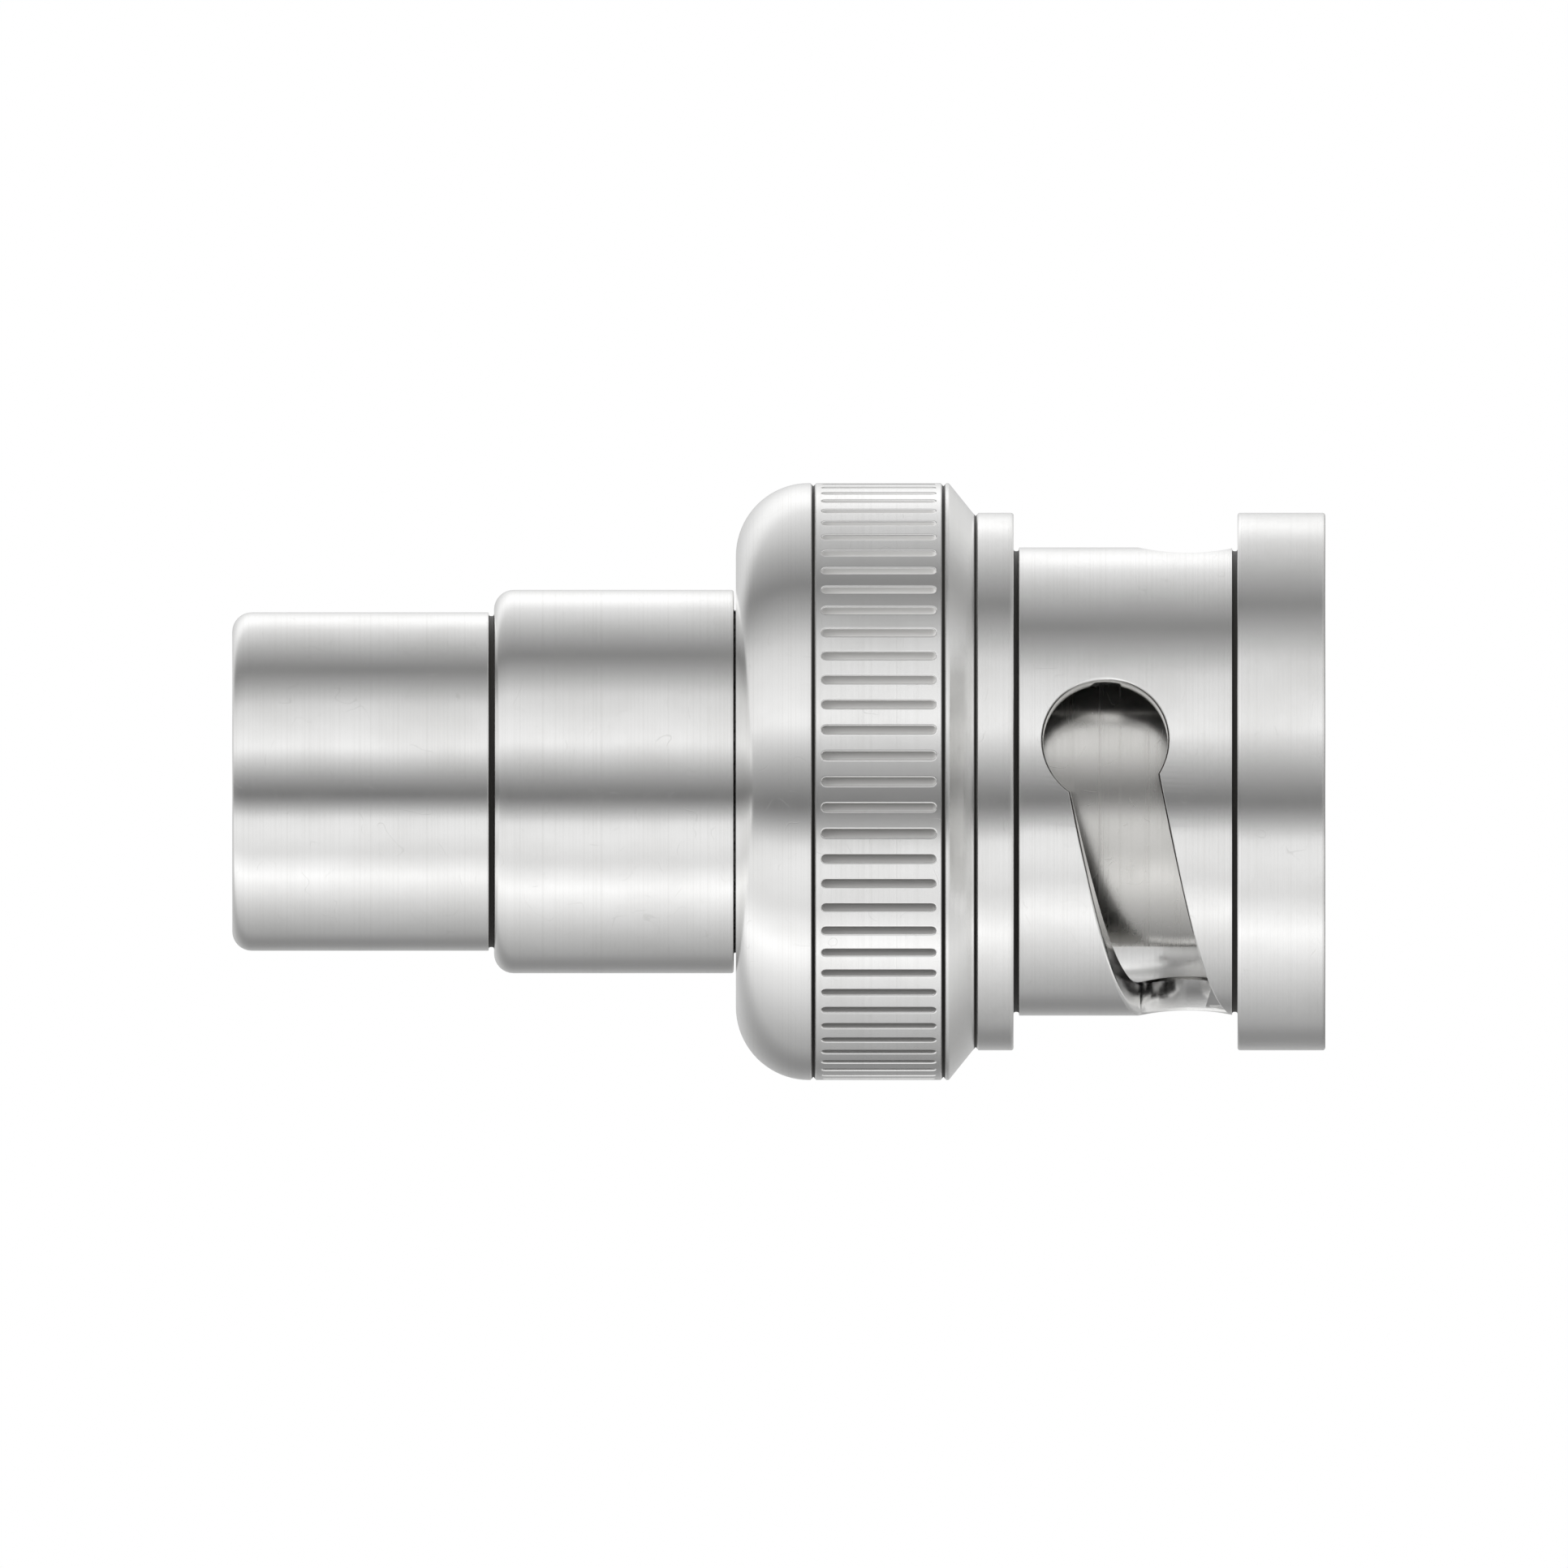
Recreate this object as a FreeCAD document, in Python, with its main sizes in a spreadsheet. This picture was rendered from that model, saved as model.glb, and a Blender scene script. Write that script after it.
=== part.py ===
"""BNC plug to RCA jack adapter.

The adapter stands on the open front of its bayonet nut, with its axis on Z and the jack end on top.
Angles are measured about Z from the side that faces -Y, growing towards +X. All lengths are in mm.
"""

import FreeCAD
import Part
import Sketcher
import math
import os

from FreeCAD import Placement, Rotation, Vector
from typing import NamedTuple

# Driving dimensions: name, value, what it is
SIZES = [
    ("jack_radius", 4.15, "outside radius of the jack's shell"),
    ("jack_wall", 0.70, "thickness of that shell"),
    ("jack_length", 6.42, "length of the jack's shell"),
    ("jack_round", 0.48, "rounded edge at the jack's end"),
    ("barrel_length", 5.88, "length of the barrel behind the nut"),
    ("barrel_step", 0.50, "how far the barrel stands out past the neck"),
    ("barrel_round", 0.48, "rounded edge of the barrel"),
    ("neck_wall", 0.75, "thickness of the neck that carries the nut"),
    ("ring_length", 2.15, "length of the nut's front ring"),
    ("ring_step", 0.85, "how far ring and flange stand out past the slotted sleeve"),
    ("sleeve_length", 5.49, "length of the nut's slotted sleeve"),
    ("sleeve_wall", 0.81, "thickness of that sleeve"),
    ("flange_length", 1.00, "length of the flange between sleeve and grip"),
    ("bevel_length", 0.59, "length of the bevel that rises from flange to grip"),
    ("grip_length", 3.43, "length of the knurled grip"),
    ("grip_step", 0.73, "how far the grip stands out past the flange"),
    ("nut_round", 1.79, "radius of the rounded back of the nut"),
    ("nut_lip", 1.52, "thickness of the nut's inner lip"),
    ("nut_mouth_bevel", 0.30, "bevel round the nut's open front"),
    ("nut_back_gap", 0.05, "play between the nut's back and the barrel"),
    ("nut_neck_gap", 0.05, "play between the nut's lip and the neck"),
    ("knurl_count", 72, "number of knurl grooves"),
    ("knurl_width", 0.26, "width of a knurl groove at the surface"),
    ("knurl_depth", 0.16, "depth of a knurl groove"),
    ("knurl_end", 0.265, "plain stretch between a groove and the end of the grip"),
    ("knurl_margin", 0.05, "how far the groove's cut starts outside the grip"),
    ("slot_width", 2.19, "width of a bayonet slot, across its run"),
    ("slot_turn", 100.4, "angle from a slot's entry to its detent, degrees"),
    ("slot_edge", 0.135, "metal between the front ring and the slot's entry end"),
    ("slot_end_ease", 0.055, "extra radius of the round at the slot's entry end"),
    ("detent_radius", 1.53, "radius of the hole that ends a slot"),
    ("detent_edge", 0.72, "metal between that hole and the flange"),
    ("entry_width", 2.10, "width of the inside groove that leads a stud into a slot"),
    ("entry_depth", 0.65, "depth of this groove"),
    ("slip_thickness", 0.20, "thickness of the slip washer"),
    ("washer_wall", 0.55, "width of a washer's metal, from bore to rim"),
    ("washer_neck_gap", 0.08, "play between a washer and the neck"),
    ("washer_rim_gap", 0.10, "play between a washer and the nut"),
    ("lip_gap", 0.03, "play between the slip washer and the nut's lip"),
    ("wave_height", 0.80, "room for the wave washer in front of the slip washer"),
    ("wave_thickness", 0.20, "thickness of the wave washer's strip"),
    ("wave_count", 3, "number of waves round the wave washer"),
    ("wave_gap", 0.01, "play over and under the waves"),
    ("plug_room", 0.88, "room between nut and outer contact, where the mating shell goes in"),
    ("contact_wall", 0.55, "thickness of the outer contact"),
    ("contact_tip_level", 1.80, "height of the outer contact's tip above the nut's front"),
    ("contact_tip_bevel", 0.20, "bevel round that tip"),
    ("contact_flange_length", 0.60, "thickness of the outer contact's flange"),
    ("shank_length", 1.30, "length of the shank that is pressed into the neck"),
    ("shank_wall", 0.45, "thickness of that shank"),
    ("shank_step", 0.70, "how far the shank's bore reaches in front of the flange's back"),
    ("slit_count", 2, "number of slits in the outer contact"),
    ("slit_width", 0.30, "width of such a slit"),
    ("slit_length", 4.80, "length of such a slit"),
    ("slit_angle", 52.0, "angle of the first slit, beside the bayonet slots' openings, degrees"),
    ("gasket_seat_step", 0.20, "how far the gasket's seat stands out past the outer contact's spring part"),
    ("gasket_rim_gap", 0.13, "play between the sealing gasket and the nut"),
    ("gasket_length", 0.80, "thickness of the sealing gasket"),
    ("front_insulator_length", 3.70, "length of the front insulator"),
    ("pin_radius", 0.675, "radius of the centre pin"),
    ("pin_length", 3.10, "length of the centre pin in front of the insulator"),
    ("pin_nose_bevel", 0.38, "bevel round the pin's tip"),
    ("pin_root_step", 0.225, "how far the pin's root stands out past the pin"),
    ("pin_root_press", 0.70, "how far the root is pressed into the socket's base"),
    ("socket_share", 2 / 3, "share of the bore that the socket and its room take, for the impedance"),
    ("socket_wall", 0.55, "thickness of the centre socket"),
    ("socket_base", 0.80, "thickness of the centre socket's base"),
    ("socket_slit_count", 4, "number of slits in the centre socket"),
    ("socket_slit_width", 0.35, "width of such a slit"),
    ("socket_slit_length", 6.00, "length of such a slit"),
    ("socket_slit_angle", 45.0, "angle of the first of them, degrees"),
    ("spring_room", 0.15, "room for the socket's fingers to spring in"),
    ("mouth_ease", 0.15, "how far the hole in the rear insulator's face stands back from the socket's bore"),
    ("mouth_wall", 0.45, "thickness of the rear insulator in front of the socket"),
    ("mouth_bevel", 0.20, "bevel round that hole"),
    ("insulator_recess", 0.15, "how deep the rear insulator's face lies below the jack's end"),
    ("cut_margin", 0.50, "how far a cutting shape reaches past the metal"),
]

# Radii that follow from the sizes, from the jack's shell out to the nut's grip
RADII = [
    ("bore", "Sizes.jack_radius - Sizes.jack_wall"),
    ("neck", "bore + Sizes.neck_wall"),
    ("barrel", "neck + Sizes.barrel_step"),
    ("lip", "neck + Sizes.nut_neck_gap"),
    ("washer_bore", "neck + Sizes.washer_neck_gap"),
    ("washer", "washer_bore + Sizes.washer_wall"),
    ("nut_bore", "washer + Sizes.washer_rim_gap"),
    ("entry", "nut_bore + Sizes.entry_depth"),
    ("sleeve", "nut_bore + Sizes.sleeve_wall"),
    ("ring", "sleeve + Sizes.ring_step"),
    ("grip", "ring + Sizes.grip_step"),
    ("gasket", "nut_bore - Sizes.gasket_rim_gap"),
    ("contact", "nut_bore - Sizes.plug_room"),
    ("contact_bore", "contact - Sizes.contact_wall"),
    ("gasket_seat", "contact + Sizes.gasket_seat_step"),
    ("shank_bore", "bore - Sizes.shank_wall"),
    ("pin_root", "Sizes.pin_radius + Sizes.pin_root_step"),
    ("socket_room", "bore * Sizes.socket_share"),
    ("socket", "socket_room - Sizes.spring_room"),
    ("socket_bore", "socket - Sizes.socket_wall"),
    ("mouth", "socket_bore + Sizes.mouth_ease"),
]

# Heights above the nut's front that follow from the sizes
LEVELS = [
    ("flange_front", "Sizes.ring_length + Sizes.sleeve_length"),
    ("bevel_front", "flange_front + Sizes.flange_length"),
    ("grip_front", "bevel_front + Sizes.bevel_length"),
    ("grip_back", "grip_front + Sizes.grip_length"),
    ("knurl_front", "grip_front + Sizes.knurl_end"),
    ("knurl_back", "grip_back - Sizes.knurl_end"),
    ("nut_back", "grip_back + Sizes.nut_round"),
    ("lip_front", "nut_back - Sizes.nut_lip"),
    ("slip_back", "lip_front - Sizes.lip_gap"),
    ("wave_back", "slip_back - Sizes.slip_thickness"),
    ("neck_front", "wave_back - Sizes.wave_height"),
    ("contact_flange_front", "neck_front - Sizes.contact_flange_length"),
    ("gasket_front", "contact_flange_front - Sizes.gasket_length"),
    ("insulator_back", "neck_front - Sizes.shank_step"),
    ("insulator_front", "insulator_back - Sizes.front_insulator_length"),
    ("pin_tip", "insulator_front - Sizes.pin_length"),
    ("pin_root_end", "insulator_back + Sizes.pin_root_press"),
    ("shank_back", "neck_front + Sizes.shank_length"),
    ("barrel_front", "nut_back + Sizes.nut_back_gap"),
    ("barrel_back", "barrel_front + Sizes.barrel_length"),
    ("jack_end", "barrel_back + Sizes.jack_length"),
    ("insulator_face", "jack_end - Sizes.insulator_recess"),
    ("socket_mouth", "insulator_face - Sizes.mouth_wall"),
    ("socket_floor", "insulator_back + Sizes.socket_base"),
    ("socket_slit_floor", "socket_mouth - Sizes.socket_slit_length"),
    ("slit_back", "Sizes.contact_tip_level + Sizes.slit_length"),
    ("slot_entry", "Sizes.ring_length + Sizes.slot_edge + Sizes.slot_width / 2"),
    ("detent", "flange_front - Sizes.detent_edge - Sizes.detent_radius"),
    ("slot_lead", "(detent - slot_entry) * 360 / Sizes.slot_turn"),
]


class Corner(NamedTuple):
    """A square corner of an outline, as formulas, which may be cut back by a size.

    One step makes a bevel of it, and several steps make a rounding of that radius.
    """

    across: str
    along: str
    size: str = ""
    steps: int = 1


# Steps that a rounded corner is turned in
BIG_ROUND_STEPS = 4
SMALL_ROUND_STEPS = 2

# Flat stretches that one wave of the wave washer is bent in
WAVE_STEPS = 8

document = FreeCAD.newDocument("BncToRcaAdapter")


def make_sizes():
    """Puts the driving dimensions in the spreadsheet, one to a row."""
    sheet = document.addObject("Spreadsheet::Sheet", "Sizes")
    for row, (name, value, meaning) in enumerate(SIZES, start=1):
        sheet.set(f"A{row}", meaning)
        sheet.set(f"B{row}", str(value))
        sheet.setAlias(f"B{row}", name)
    document.recompute()
    return sheet


def make_values(label, formulas):
    """Makes a set of values that follow from the driving dimensions."""
    values = document.addObject("App::VarSet", label)
    for name, formula in formulas:
        values.addProperty("App::PropertyFloat", name)
        values.setExpression(name, formula)
    document.recompute()


sizes = make_sizes()
make_values("Radii", RADII)
make_values("Levels", LEVELS)


def measure(formula):
    """Gives the number that a formula on Sizes, Radii and Levels has now."""
    return float(sizes.evalExpression(formula))


def origin_feature(body, role):
    """Finds one of a body's own origin planes or axes."""
    return next(item for item in body.Origin.OriginFeatures if item.Role == role)


def new_body(label):
    """Starts a sub-part."""
    body = document.addObject("PartDesign::Body", label)
    body.Label = label
    body.Placement = Placement()
    return body


def new_sketch(body, name, role="XZ_Plane", angle="", distance=""):
    """Starts a sketch on an origin plane, turned about Z by an angle or moved along its normal."""
    sketch = body.newObject("Sketcher::SketchObject", name)
    sketch.AttachmentSupport = [(origin_feature(body, role), "")]
    sketch.MapMode = "FlatFace"
    if angle:
        sketch.AttachmentOffset = Placement(Vector(), Rotation(Vector(0, 1, 0), measure(angle)))
        sketch.setExpression("AttachmentOffset.Rotation.Angle", angle)
    if distance:
        sketch.setExpression("AttachmentOffset.Base.z", distance)
    document.recompute()
    return sketch


def pin_point(sketch, item, end, across, along):
    """Ties a point of a sketch to two formulas, measured from the sketch's origin."""
    for kind, formula, axis in (("DistanceX", across, -2), ("DistanceY", along, -1)):
        if formula == "0":
            sketch.addConstraint(Sketcher.Constraint("PointOnObject", item, end, axis))
            continue
        index = sketch.addConstraint(Sketcher.Constraint(kind, -1, 1, item, end, measure(formula)))
        sketch.setExpression(f"Constraints[{index}]", formula)


def moved(formula, direction, distance):
    """Adds a distance along a direction to a formula, or leaves it where it has no such part."""
    if abs(direction) < 1e-6:
        return formula
    sign = "+" if direction > 0 else "-"
    return f"{formula} {sign} {distance}"


def cut_back(corner, arriving, leaving):
    """Gives the points that a bevelled or rounded corner has, on the way along the outline."""
    points = []
    for step in range(corner.steps + 1):
        angle = 90 * step / corner.steps
        before = f"{corner.size} * (1 - sin({angle}))"
        after = f"{corner.size} * (1 - cos({angle}))"
        across = moved(moved(corner.across, -arriving.x, before), leaving.x, after)
        along = moved(moved(corner.along, -arriving.y, before), leaving.y, after)
        points.append((across, along))
    return points


def outline_points(corners):
    """Turns the corners of an outline into its points, each with two formulas."""
    spots = [Vector(measure(corner.across), measure(corner.along), 0) for corner in corners]
    points = []
    for index, corner in enumerate(corners):
        if not corner.size:
            points.append((corner.across, corner.along))
            continue
        arriving = (spots[index] - spots[index - 1]).normalize()
        leaving = (spots[(index + 1) % len(spots)] - spots[index]).normalize()
        points += cut_back(corner, arriving, leaving)
    return points


def draw_outline(sketch, corners):
    """Draws a closed outline through its corners, with every point tied to formulas."""
    points = outline_points(corners)
    spots = [Vector(measure(across), measure(along), 0) for across, along in points]
    lines = []
    for start, end in zip(spots, spots[1:] + spots[:1]):
        lines.append(sketch.addGeometry(Part.LineSegment(start, end), False))
    for line, line_before, (across, along) in zip(lines, lines[-1:] + lines[:-1], points):
        sketch.addConstraint(Sketcher.Constraint("Coincident", line_before, 2, line, 1))
        pin_point(sketch, line, 1, across, along)


def draw_circle(sketch, radius, along):
    """Draws a circle whose centre lies on the vertical axis of the sketch."""
    circle = Part.Circle(Vector(0, measure(along), 0), Vector(0, 0, 1), measure(radius))
    item = sketch.addGeometry(circle, False)
    size = sketch.addConstraint(Sketcher.Constraint("Radius", item, measure(radius)))
    sketch.setExpression(f"Constraints[{size}]", radius)
    pin_point(sketch, item, 3, "0", along)


def turn_profile(body, corners):
    """Revolves an outline about the adapter's axis, as a turned or moulded ring is made."""
    sketch = new_sketch(body, f"{body.Label}_profile")
    draw_outline(sketch, corners)
    turned = body.newObject("PartDesign::Revolution", f"{body.Label}_turned")
    turned.Profile = sketch
    turned.ReferenceAxis = (sketch, ["V_Axis"])
    turned.Angle = 360
    document.recompute()


def check_cut(body, cut, before):
    """Stops the build where a cut took no metal away."""
    document.recompute()
    if not body.Shape.Volume < before - 1e-4:
        raise RuntimeError(f"{cut.Name} cut nothing")
    return cut


def cut_pocket(body, sketch, name, depth, along_normal):
    """Cuts a sketch's outline out of the body, along its normal or against it."""
    before = body.Shape.Volume
    cut = body.newObject("PartDesign::Pocket", name)
    cut.Profile = sketch
    cut.Type = "Length"
    cut.setExpression("Length", depth)
    cut.Reversed = along_normal
    return check_cut(body, cut, before)


def repeat_round(body, features, name, count):
    """Repeats cuts evenly about the adapter's axis."""
    before = body.Shape.Volume
    pattern = body.newObject("PartDesign::PolarPattern", name)
    pattern.Originals = features
    pattern.Axis = (origin_feature(body, "Z_Axis"), [""])
    pattern.Angle = 360
    pattern.setExpression("Occurrences", count)
    body.Tip = pattern
    return check_cut(body, pattern, before)


def cut_slits(body, name, width, low, high, reach, angle, count):
    """Saws slits through a tube's wall, from one height to another."""
    sketch = new_sketch(body, f"{name}_outline", angle=angle)
    draw_outline(sketch, [
        Corner(f"-{width} / 2", low),
        Corner(f"{width} / 2", low),
        Corner(f"{width} / 2", high),
        Corner(f"-{width} / 2", high),
    ])
    slit = cut_pocket(body, sketch, name, f"{reach} + Sizes.cut_margin", True)
    return repeat_round(body, [slit], f"{name}_pattern", count)


def make_ring(label, bore, rim, low, high):
    """Makes a plain ring: a washer or a gasket."""
    body = new_body(label)
    turn_profile(body, [Corner(bore, low), Corner(rim, low), Corner(rim, high), Corner(bore, high)])
    return body


def cut_bayonet(body):
    """Cuts the two helical slots of the bayonet, with their entry grooves and detent holes."""
    before = body.Shape.Volume
    half_rise = "Sizes.slot_width / 2 / cos(atan(Levels.slot_lead / (2 * pi * Radii.sleeve)))"
    inside = "-(Radii.nut_bore - Sizes.cut_margin)"
    outside = "-(Radii.sleeve + Sizes.cut_margin)"

    section = new_sketch(body, "slot_section")
    draw_outline(section, [
        Corner(outside, f"Levels.slot_entry - {half_rise}"),
        Corner(inside, f"Levels.slot_entry - {half_rise}"),
        Corner(inside, f"Levels.slot_entry + {half_rise}"),
        Corner(outside, f"Levels.slot_entry + {half_rise}"),
    ])
    slot = body.newObject("PartDesign::SubtractiveHelix", "slot")
    slot.Profile = section
    slot.ReferenceAxis = (section, ["V_Axis"])
    slot.Mode = "pitch-turns-angle"
    slot.setExpression("Pitch", "Levels.slot_lead")
    slot.setExpression("Turns", "Sizes.slot_turn / 360")
    check_cut(body, slot, before)

    entry_sketch = new_sketch(body, "slot_entry_outline", role="YZ_Plane")
    draw_circle(entry_sketch, "Sizes.slot_width / 2 + Sizes.slot_end_ease", "Levels.slot_entry")
    entry = cut_pocket(body, entry_sketch, "slot_entry", "Radii.sleeve + Sizes.cut_margin", False)

    # A slot starts a quarter turn before the side that angles are measured from
    detent_sketch = new_sketch(body, "detent_outline", angle="Sizes.slot_turn - 90")
    draw_circle(detent_sketch, "Sizes.detent_radius", "Levels.detent")
    detent = cut_pocket(body, detent_sketch, "detent", "Radii.sleeve + Sizes.cut_margin", True)

    before = body.Shape.Volume
    groove_sketch = new_sketch(body, "entry_groove_section")
    draw_outline(groove_sketch, [
        Corner("-Radii.entry", "-Sizes.cut_margin"),
        Corner(inside, "-Sizes.cut_margin"),
        Corner(inside, "Levels.slot_entry"),
        Corner("-Radii.entry", "Levels.slot_entry"),
    ])
    groove = body.newObject("PartDesign::Groove", "entry_groove")
    groove.Profile = groove_sketch
    groove.ReferenceAxis = (groove_sketch, ["V_Axis"])
    groove.Midplane = True
    groove.setExpression("Angle", "2 * asin(Sizes.entry_width / 2 / Radii.entry)")
    check_cut(body, groove, before)

    repeat_round(body, [slot, entry, detent, groove], "bayonet_pattern", "2")


def cut_knurl(body):
    """Rolls straight grooves with a pointed bottom into the grip."""
    surface = "-(Radii.grip + Sizes.knurl_margin)"
    half_width = "Sizes.knurl_width / 2 * (1 + Sizes.knurl_margin / Sizes.knurl_depth)"
    sketch = new_sketch(body, "knurl_section", role="XY_Plane", distance="Levels.knurl_front")
    draw_outline(sketch, [
        Corner(f"-{half_width}", surface),
        Corner(half_width, surface),
        Corner("0", "-(Radii.grip - Sizes.knurl_depth)"),
    ])
    groove = cut_pocket(body, sketch, "knurl_groove", "Levels.knurl_back - Levels.knurl_front", True)
    repeat_round(body, [groove], "knurl_pattern", "Sizes.knurl_count")


def make_coupling_nut():
    """Makes the bayonet nut: front ring, slotted sleeve, flange, knurled grip and rounded back."""
    body = new_body("coupling_nut")
    turn_profile(body, [
        Corner("Radii.nut_bore", "0", "Sizes.nut_mouth_bevel"),
        Corner("Radii.ring", "0"),
        Corner("Radii.ring", "Sizes.ring_length"),
        Corner("Radii.sleeve", "Sizes.ring_length"),
        Corner("Radii.sleeve", "Levels.flange_front"),
        Corner("Radii.ring", "Levels.flange_front"),
        Corner("Radii.ring", "Levels.bevel_front"),
        Corner("Radii.grip", "Levels.grip_front"),
        Corner("Radii.grip", "Levels.nut_back", "Sizes.nut_round", BIG_ROUND_STEPS),
        Corner("Radii.lip", "Levels.nut_back"),
        Corner("Radii.lip", "Levels.lip_front"),
        Corner("Radii.nut_bore", "Levels.lip_front"),
    ])
    cut_bayonet(body)
    cut_knurl(body)
    return body


def make_adapter_body():
    """Makes the turned body: neck for the nut, barrel, and the jack's shell."""
    body = new_body("adapter_body")
    turn_profile(body, [
        Corner("Radii.bore", "Levels.neck_front"),
        Corner("Radii.neck", "Levels.neck_front"),
        Corner("Radii.neck", "Levels.barrel_front"),
        Corner("Radii.barrel", "Levels.barrel_front"),
        Corner("Radii.barrel", "Levels.barrel_back", "Sizes.barrel_round", SMALL_ROUND_STEPS),
        Corner("Sizes.jack_radius", "Levels.barrel_back"),
        Corner("Sizes.jack_radius", "Levels.jack_end", "Sizes.jack_round", SMALL_ROUND_STEPS),
        Corner("Radii.bore", "Levels.jack_end"),
    ])
    return body


def make_outer_contact():
    """Makes the slit spring sleeve of the BNC side, whose flange keeps the nut on the neck."""
    body = new_body("outer_contact")
    turn_profile(body, [
        Corner("Radii.contact_bore", "Sizes.contact_tip_level"),
        Corner("Radii.contact", "Sizes.contact_tip_level", "Sizes.contact_tip_bevel"),
        Corner("Radii.contact", "Levels.gasket_front"),
        Corner("Radii.gasket_seat", "Levels.gasket_front"),
        Corner("Radii.gasket_seat", "Levels.contact_flange_front"),
        Corner("Radii.washer", "Levels.contact_flange_front"),
        Corner("Radii.washer", "Levels.neck_front"),
        Corner("Radii.bore", "Levels.neck_front"),
        Corner("Radii.bore", "Levels.shank_back"),
        Corner("Radii.shank_bore", "Levels.shank_back"),
        Corner("Radii.shank_bore", "Levels.insulator_back"),
        Corner("Radii.contact_bore", "Levels.insulator_back"),
    ])
    cut_slits(
        body, "contact_slit", "Sizes.slit_width",
        "Sizes.contact_tip_level - Sizes.cut_margin", "Levels.slit_back",
        "Radii.contact", "Sizes.slit_angle", "Sizes.slit_count",
    )
    return body


def make_front_insulator():
    """Makes the insulator that centres the pin in the outer contact."""
    body = new_body("front_insulator")
    turn_profile(body, [
        Corner("Radii.pin_root", "Levels.insulator_front"),
        Corner("Radii.contact_bore", "Levels.insulator_front"),
        Corner("Radii.contact_bore", "Levels.insulator_back"),
        Corner("Radii.pin_root", "Levels.insulator_back"),
    ])
    return body


def make_centre_pin():
    """Makes the centre pin of the BNC side, whose root is pressed into the centre socket."""
    body = new_body("centre_pin")
    turn_profile(body, [
        Corner("0", "Levels.pin_tip"),
        Corner("Sizes.pin_radius", "Levels.pin_tip", "Sizes.pin_nose_bevel"),
        Corner("Sizes.pin_radius", "Levels.insulator_front"),
        Corner("Radii.pin_root", "Levels.insulator_front"),
        Corner("Radii.pin_root", "Levels.pin_root_end"),
        Corner("0", "Levels.pin_root_end"),
    ])
    return body


def make_centre_socket():
    """Makes the long slit socket that grips the pin of the plug on the jack's side."""
    body = new_body("centre_socket")
    turn_profile(body, [
        Corner("Radii.pin_root", "Levels.insulator_back"),
        Corner("Radii.socket", "Levels.insulator_back"),
        Corner("Radii.socket", "Levels.socket_mouth"),
        Corner("Radii.socket_bore", "Levels.socket_mouth"),
        Corner("Radii.socket_bore", "Levels.socket_floor"),
        Corner("Radii.pin_root", "Levels.socket_floor"),
    ])
    cut_slits(
        body, "socket_slit", "Sizes.socket_slit_width",
        "Levels.socket_slit_floor", "Levels.socket_mouth + Sizes.cut_margin",
        "Radii.socket", "Sizes.socket_slit_angle", "Sizes.socket_slit_count",
    )
    return body


def make_rear_insulator():
    """Makes the insulator that holds the socket, with its round mouth in the jack's end."""
    body = new_body("rear_insulator")
    turn_profile(body, [
        Corner("Radii.socket_room", "Levels.shank_back"),
        Corner("Radii.bore", "Levels.shank_back"),
        Corner("Radii.bore", "Levels.insulator_face"),
        Corner("Radii.mouth", "Levels.insulator_face", "Sizes.mouth_bevel"),
        Corner("Radii.mouth", "Levels.socket_mouth"),
        Corner("Radii.socket_room", "Levels.socket_mouth"),
    ])
    return body


def make_gasket():
    """Makes the seal round the foot of the outer contact."""
    return make_ring(
        "gasket", "Radii.gasket_seat", "Radii.gasket",
        "Levels.gasket_front", "Levels.contact_flange_front",
    )


def make_slip_washer():
    """Makes the flat washer that the nut's lip turns on."""
    return make_ring(
        "slip_washer", "Radii.washer_bore", "Radii.washer",
        "Levels.wave_back", "Levels.slip_back",
    )


def flat_face(*points):
    """Makes a flat face with the given corners."""
    return Part.Face(Part.makePolygon([*points, points[0]]))


def wave_points(radius, low, rise):
    """Gives the points of a closed wavy line of the given radius, which starts at a crest."""
    waves = round(measure("Sizes.wave_count"))
    steps = WAVE_STEPS * waves
    points = []
    for step in range(steps + 1):
        angle = 2 * math.pi * (step % steps) / steps
        height = low + rise * (1 + math.cos(waves * angle)) / 2
        points.append(Vector(radius * math.cos(angle), radius * math.sin(angle), height))
    return points


def make_wave_washer():
    """Makes the spring washer: a flat ring of strip metal bent into waves round the neck."""
    low = measure("Levels.neck_front + Sizes.wave_gap")
    rise = measure("Sizes.wave_height - 2 * Sizes.wave_gap - Sizes.wave_thickness")
    up = Vector(0, 0, measure("Sizes.wave_thickness"))
    inner = wave_points(measure("Radii.washer_bore"), low, rise)
    outer = wave_points(measure("Radii.washer"), low, rise)
    faces = []
    for inside, inside_next, outside, outside_next in zip(inner, inner[1:], outer, outer[1:]):
        for start, end in ((inside, inside_next), (outside, outside_next)):
            faces.append(flat_face(start, end, end + up, start + up))
        for lift in (Vector(), up):
            faces.append(flat_face(inside + lift, inside_next + lift, outside_next + lift))
            faces.append(flat_face(inside + lift, outside_next + lift, outside + lift))
    washer = document.addObject("Part::Feature", "wave_washer")
    washer.Label = "wave_washer"
    washer.Shape = Part.Solid(Part.Shell(faces))
    washer.Placement = Placement()
    return washer


def make_parts():
    """Makes every sub-part."""
    return [
        make_coupling_nut(),
        make_adapter_body(),
        make_outer_contact(),
        make_gasket(),
        make_wave_washer(),
        make_slip_washer(),
        make_front_insulator(),
        make_centre_pin(),
        make_centre_socket(),
        make_rear_insulator(),
    ]


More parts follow.
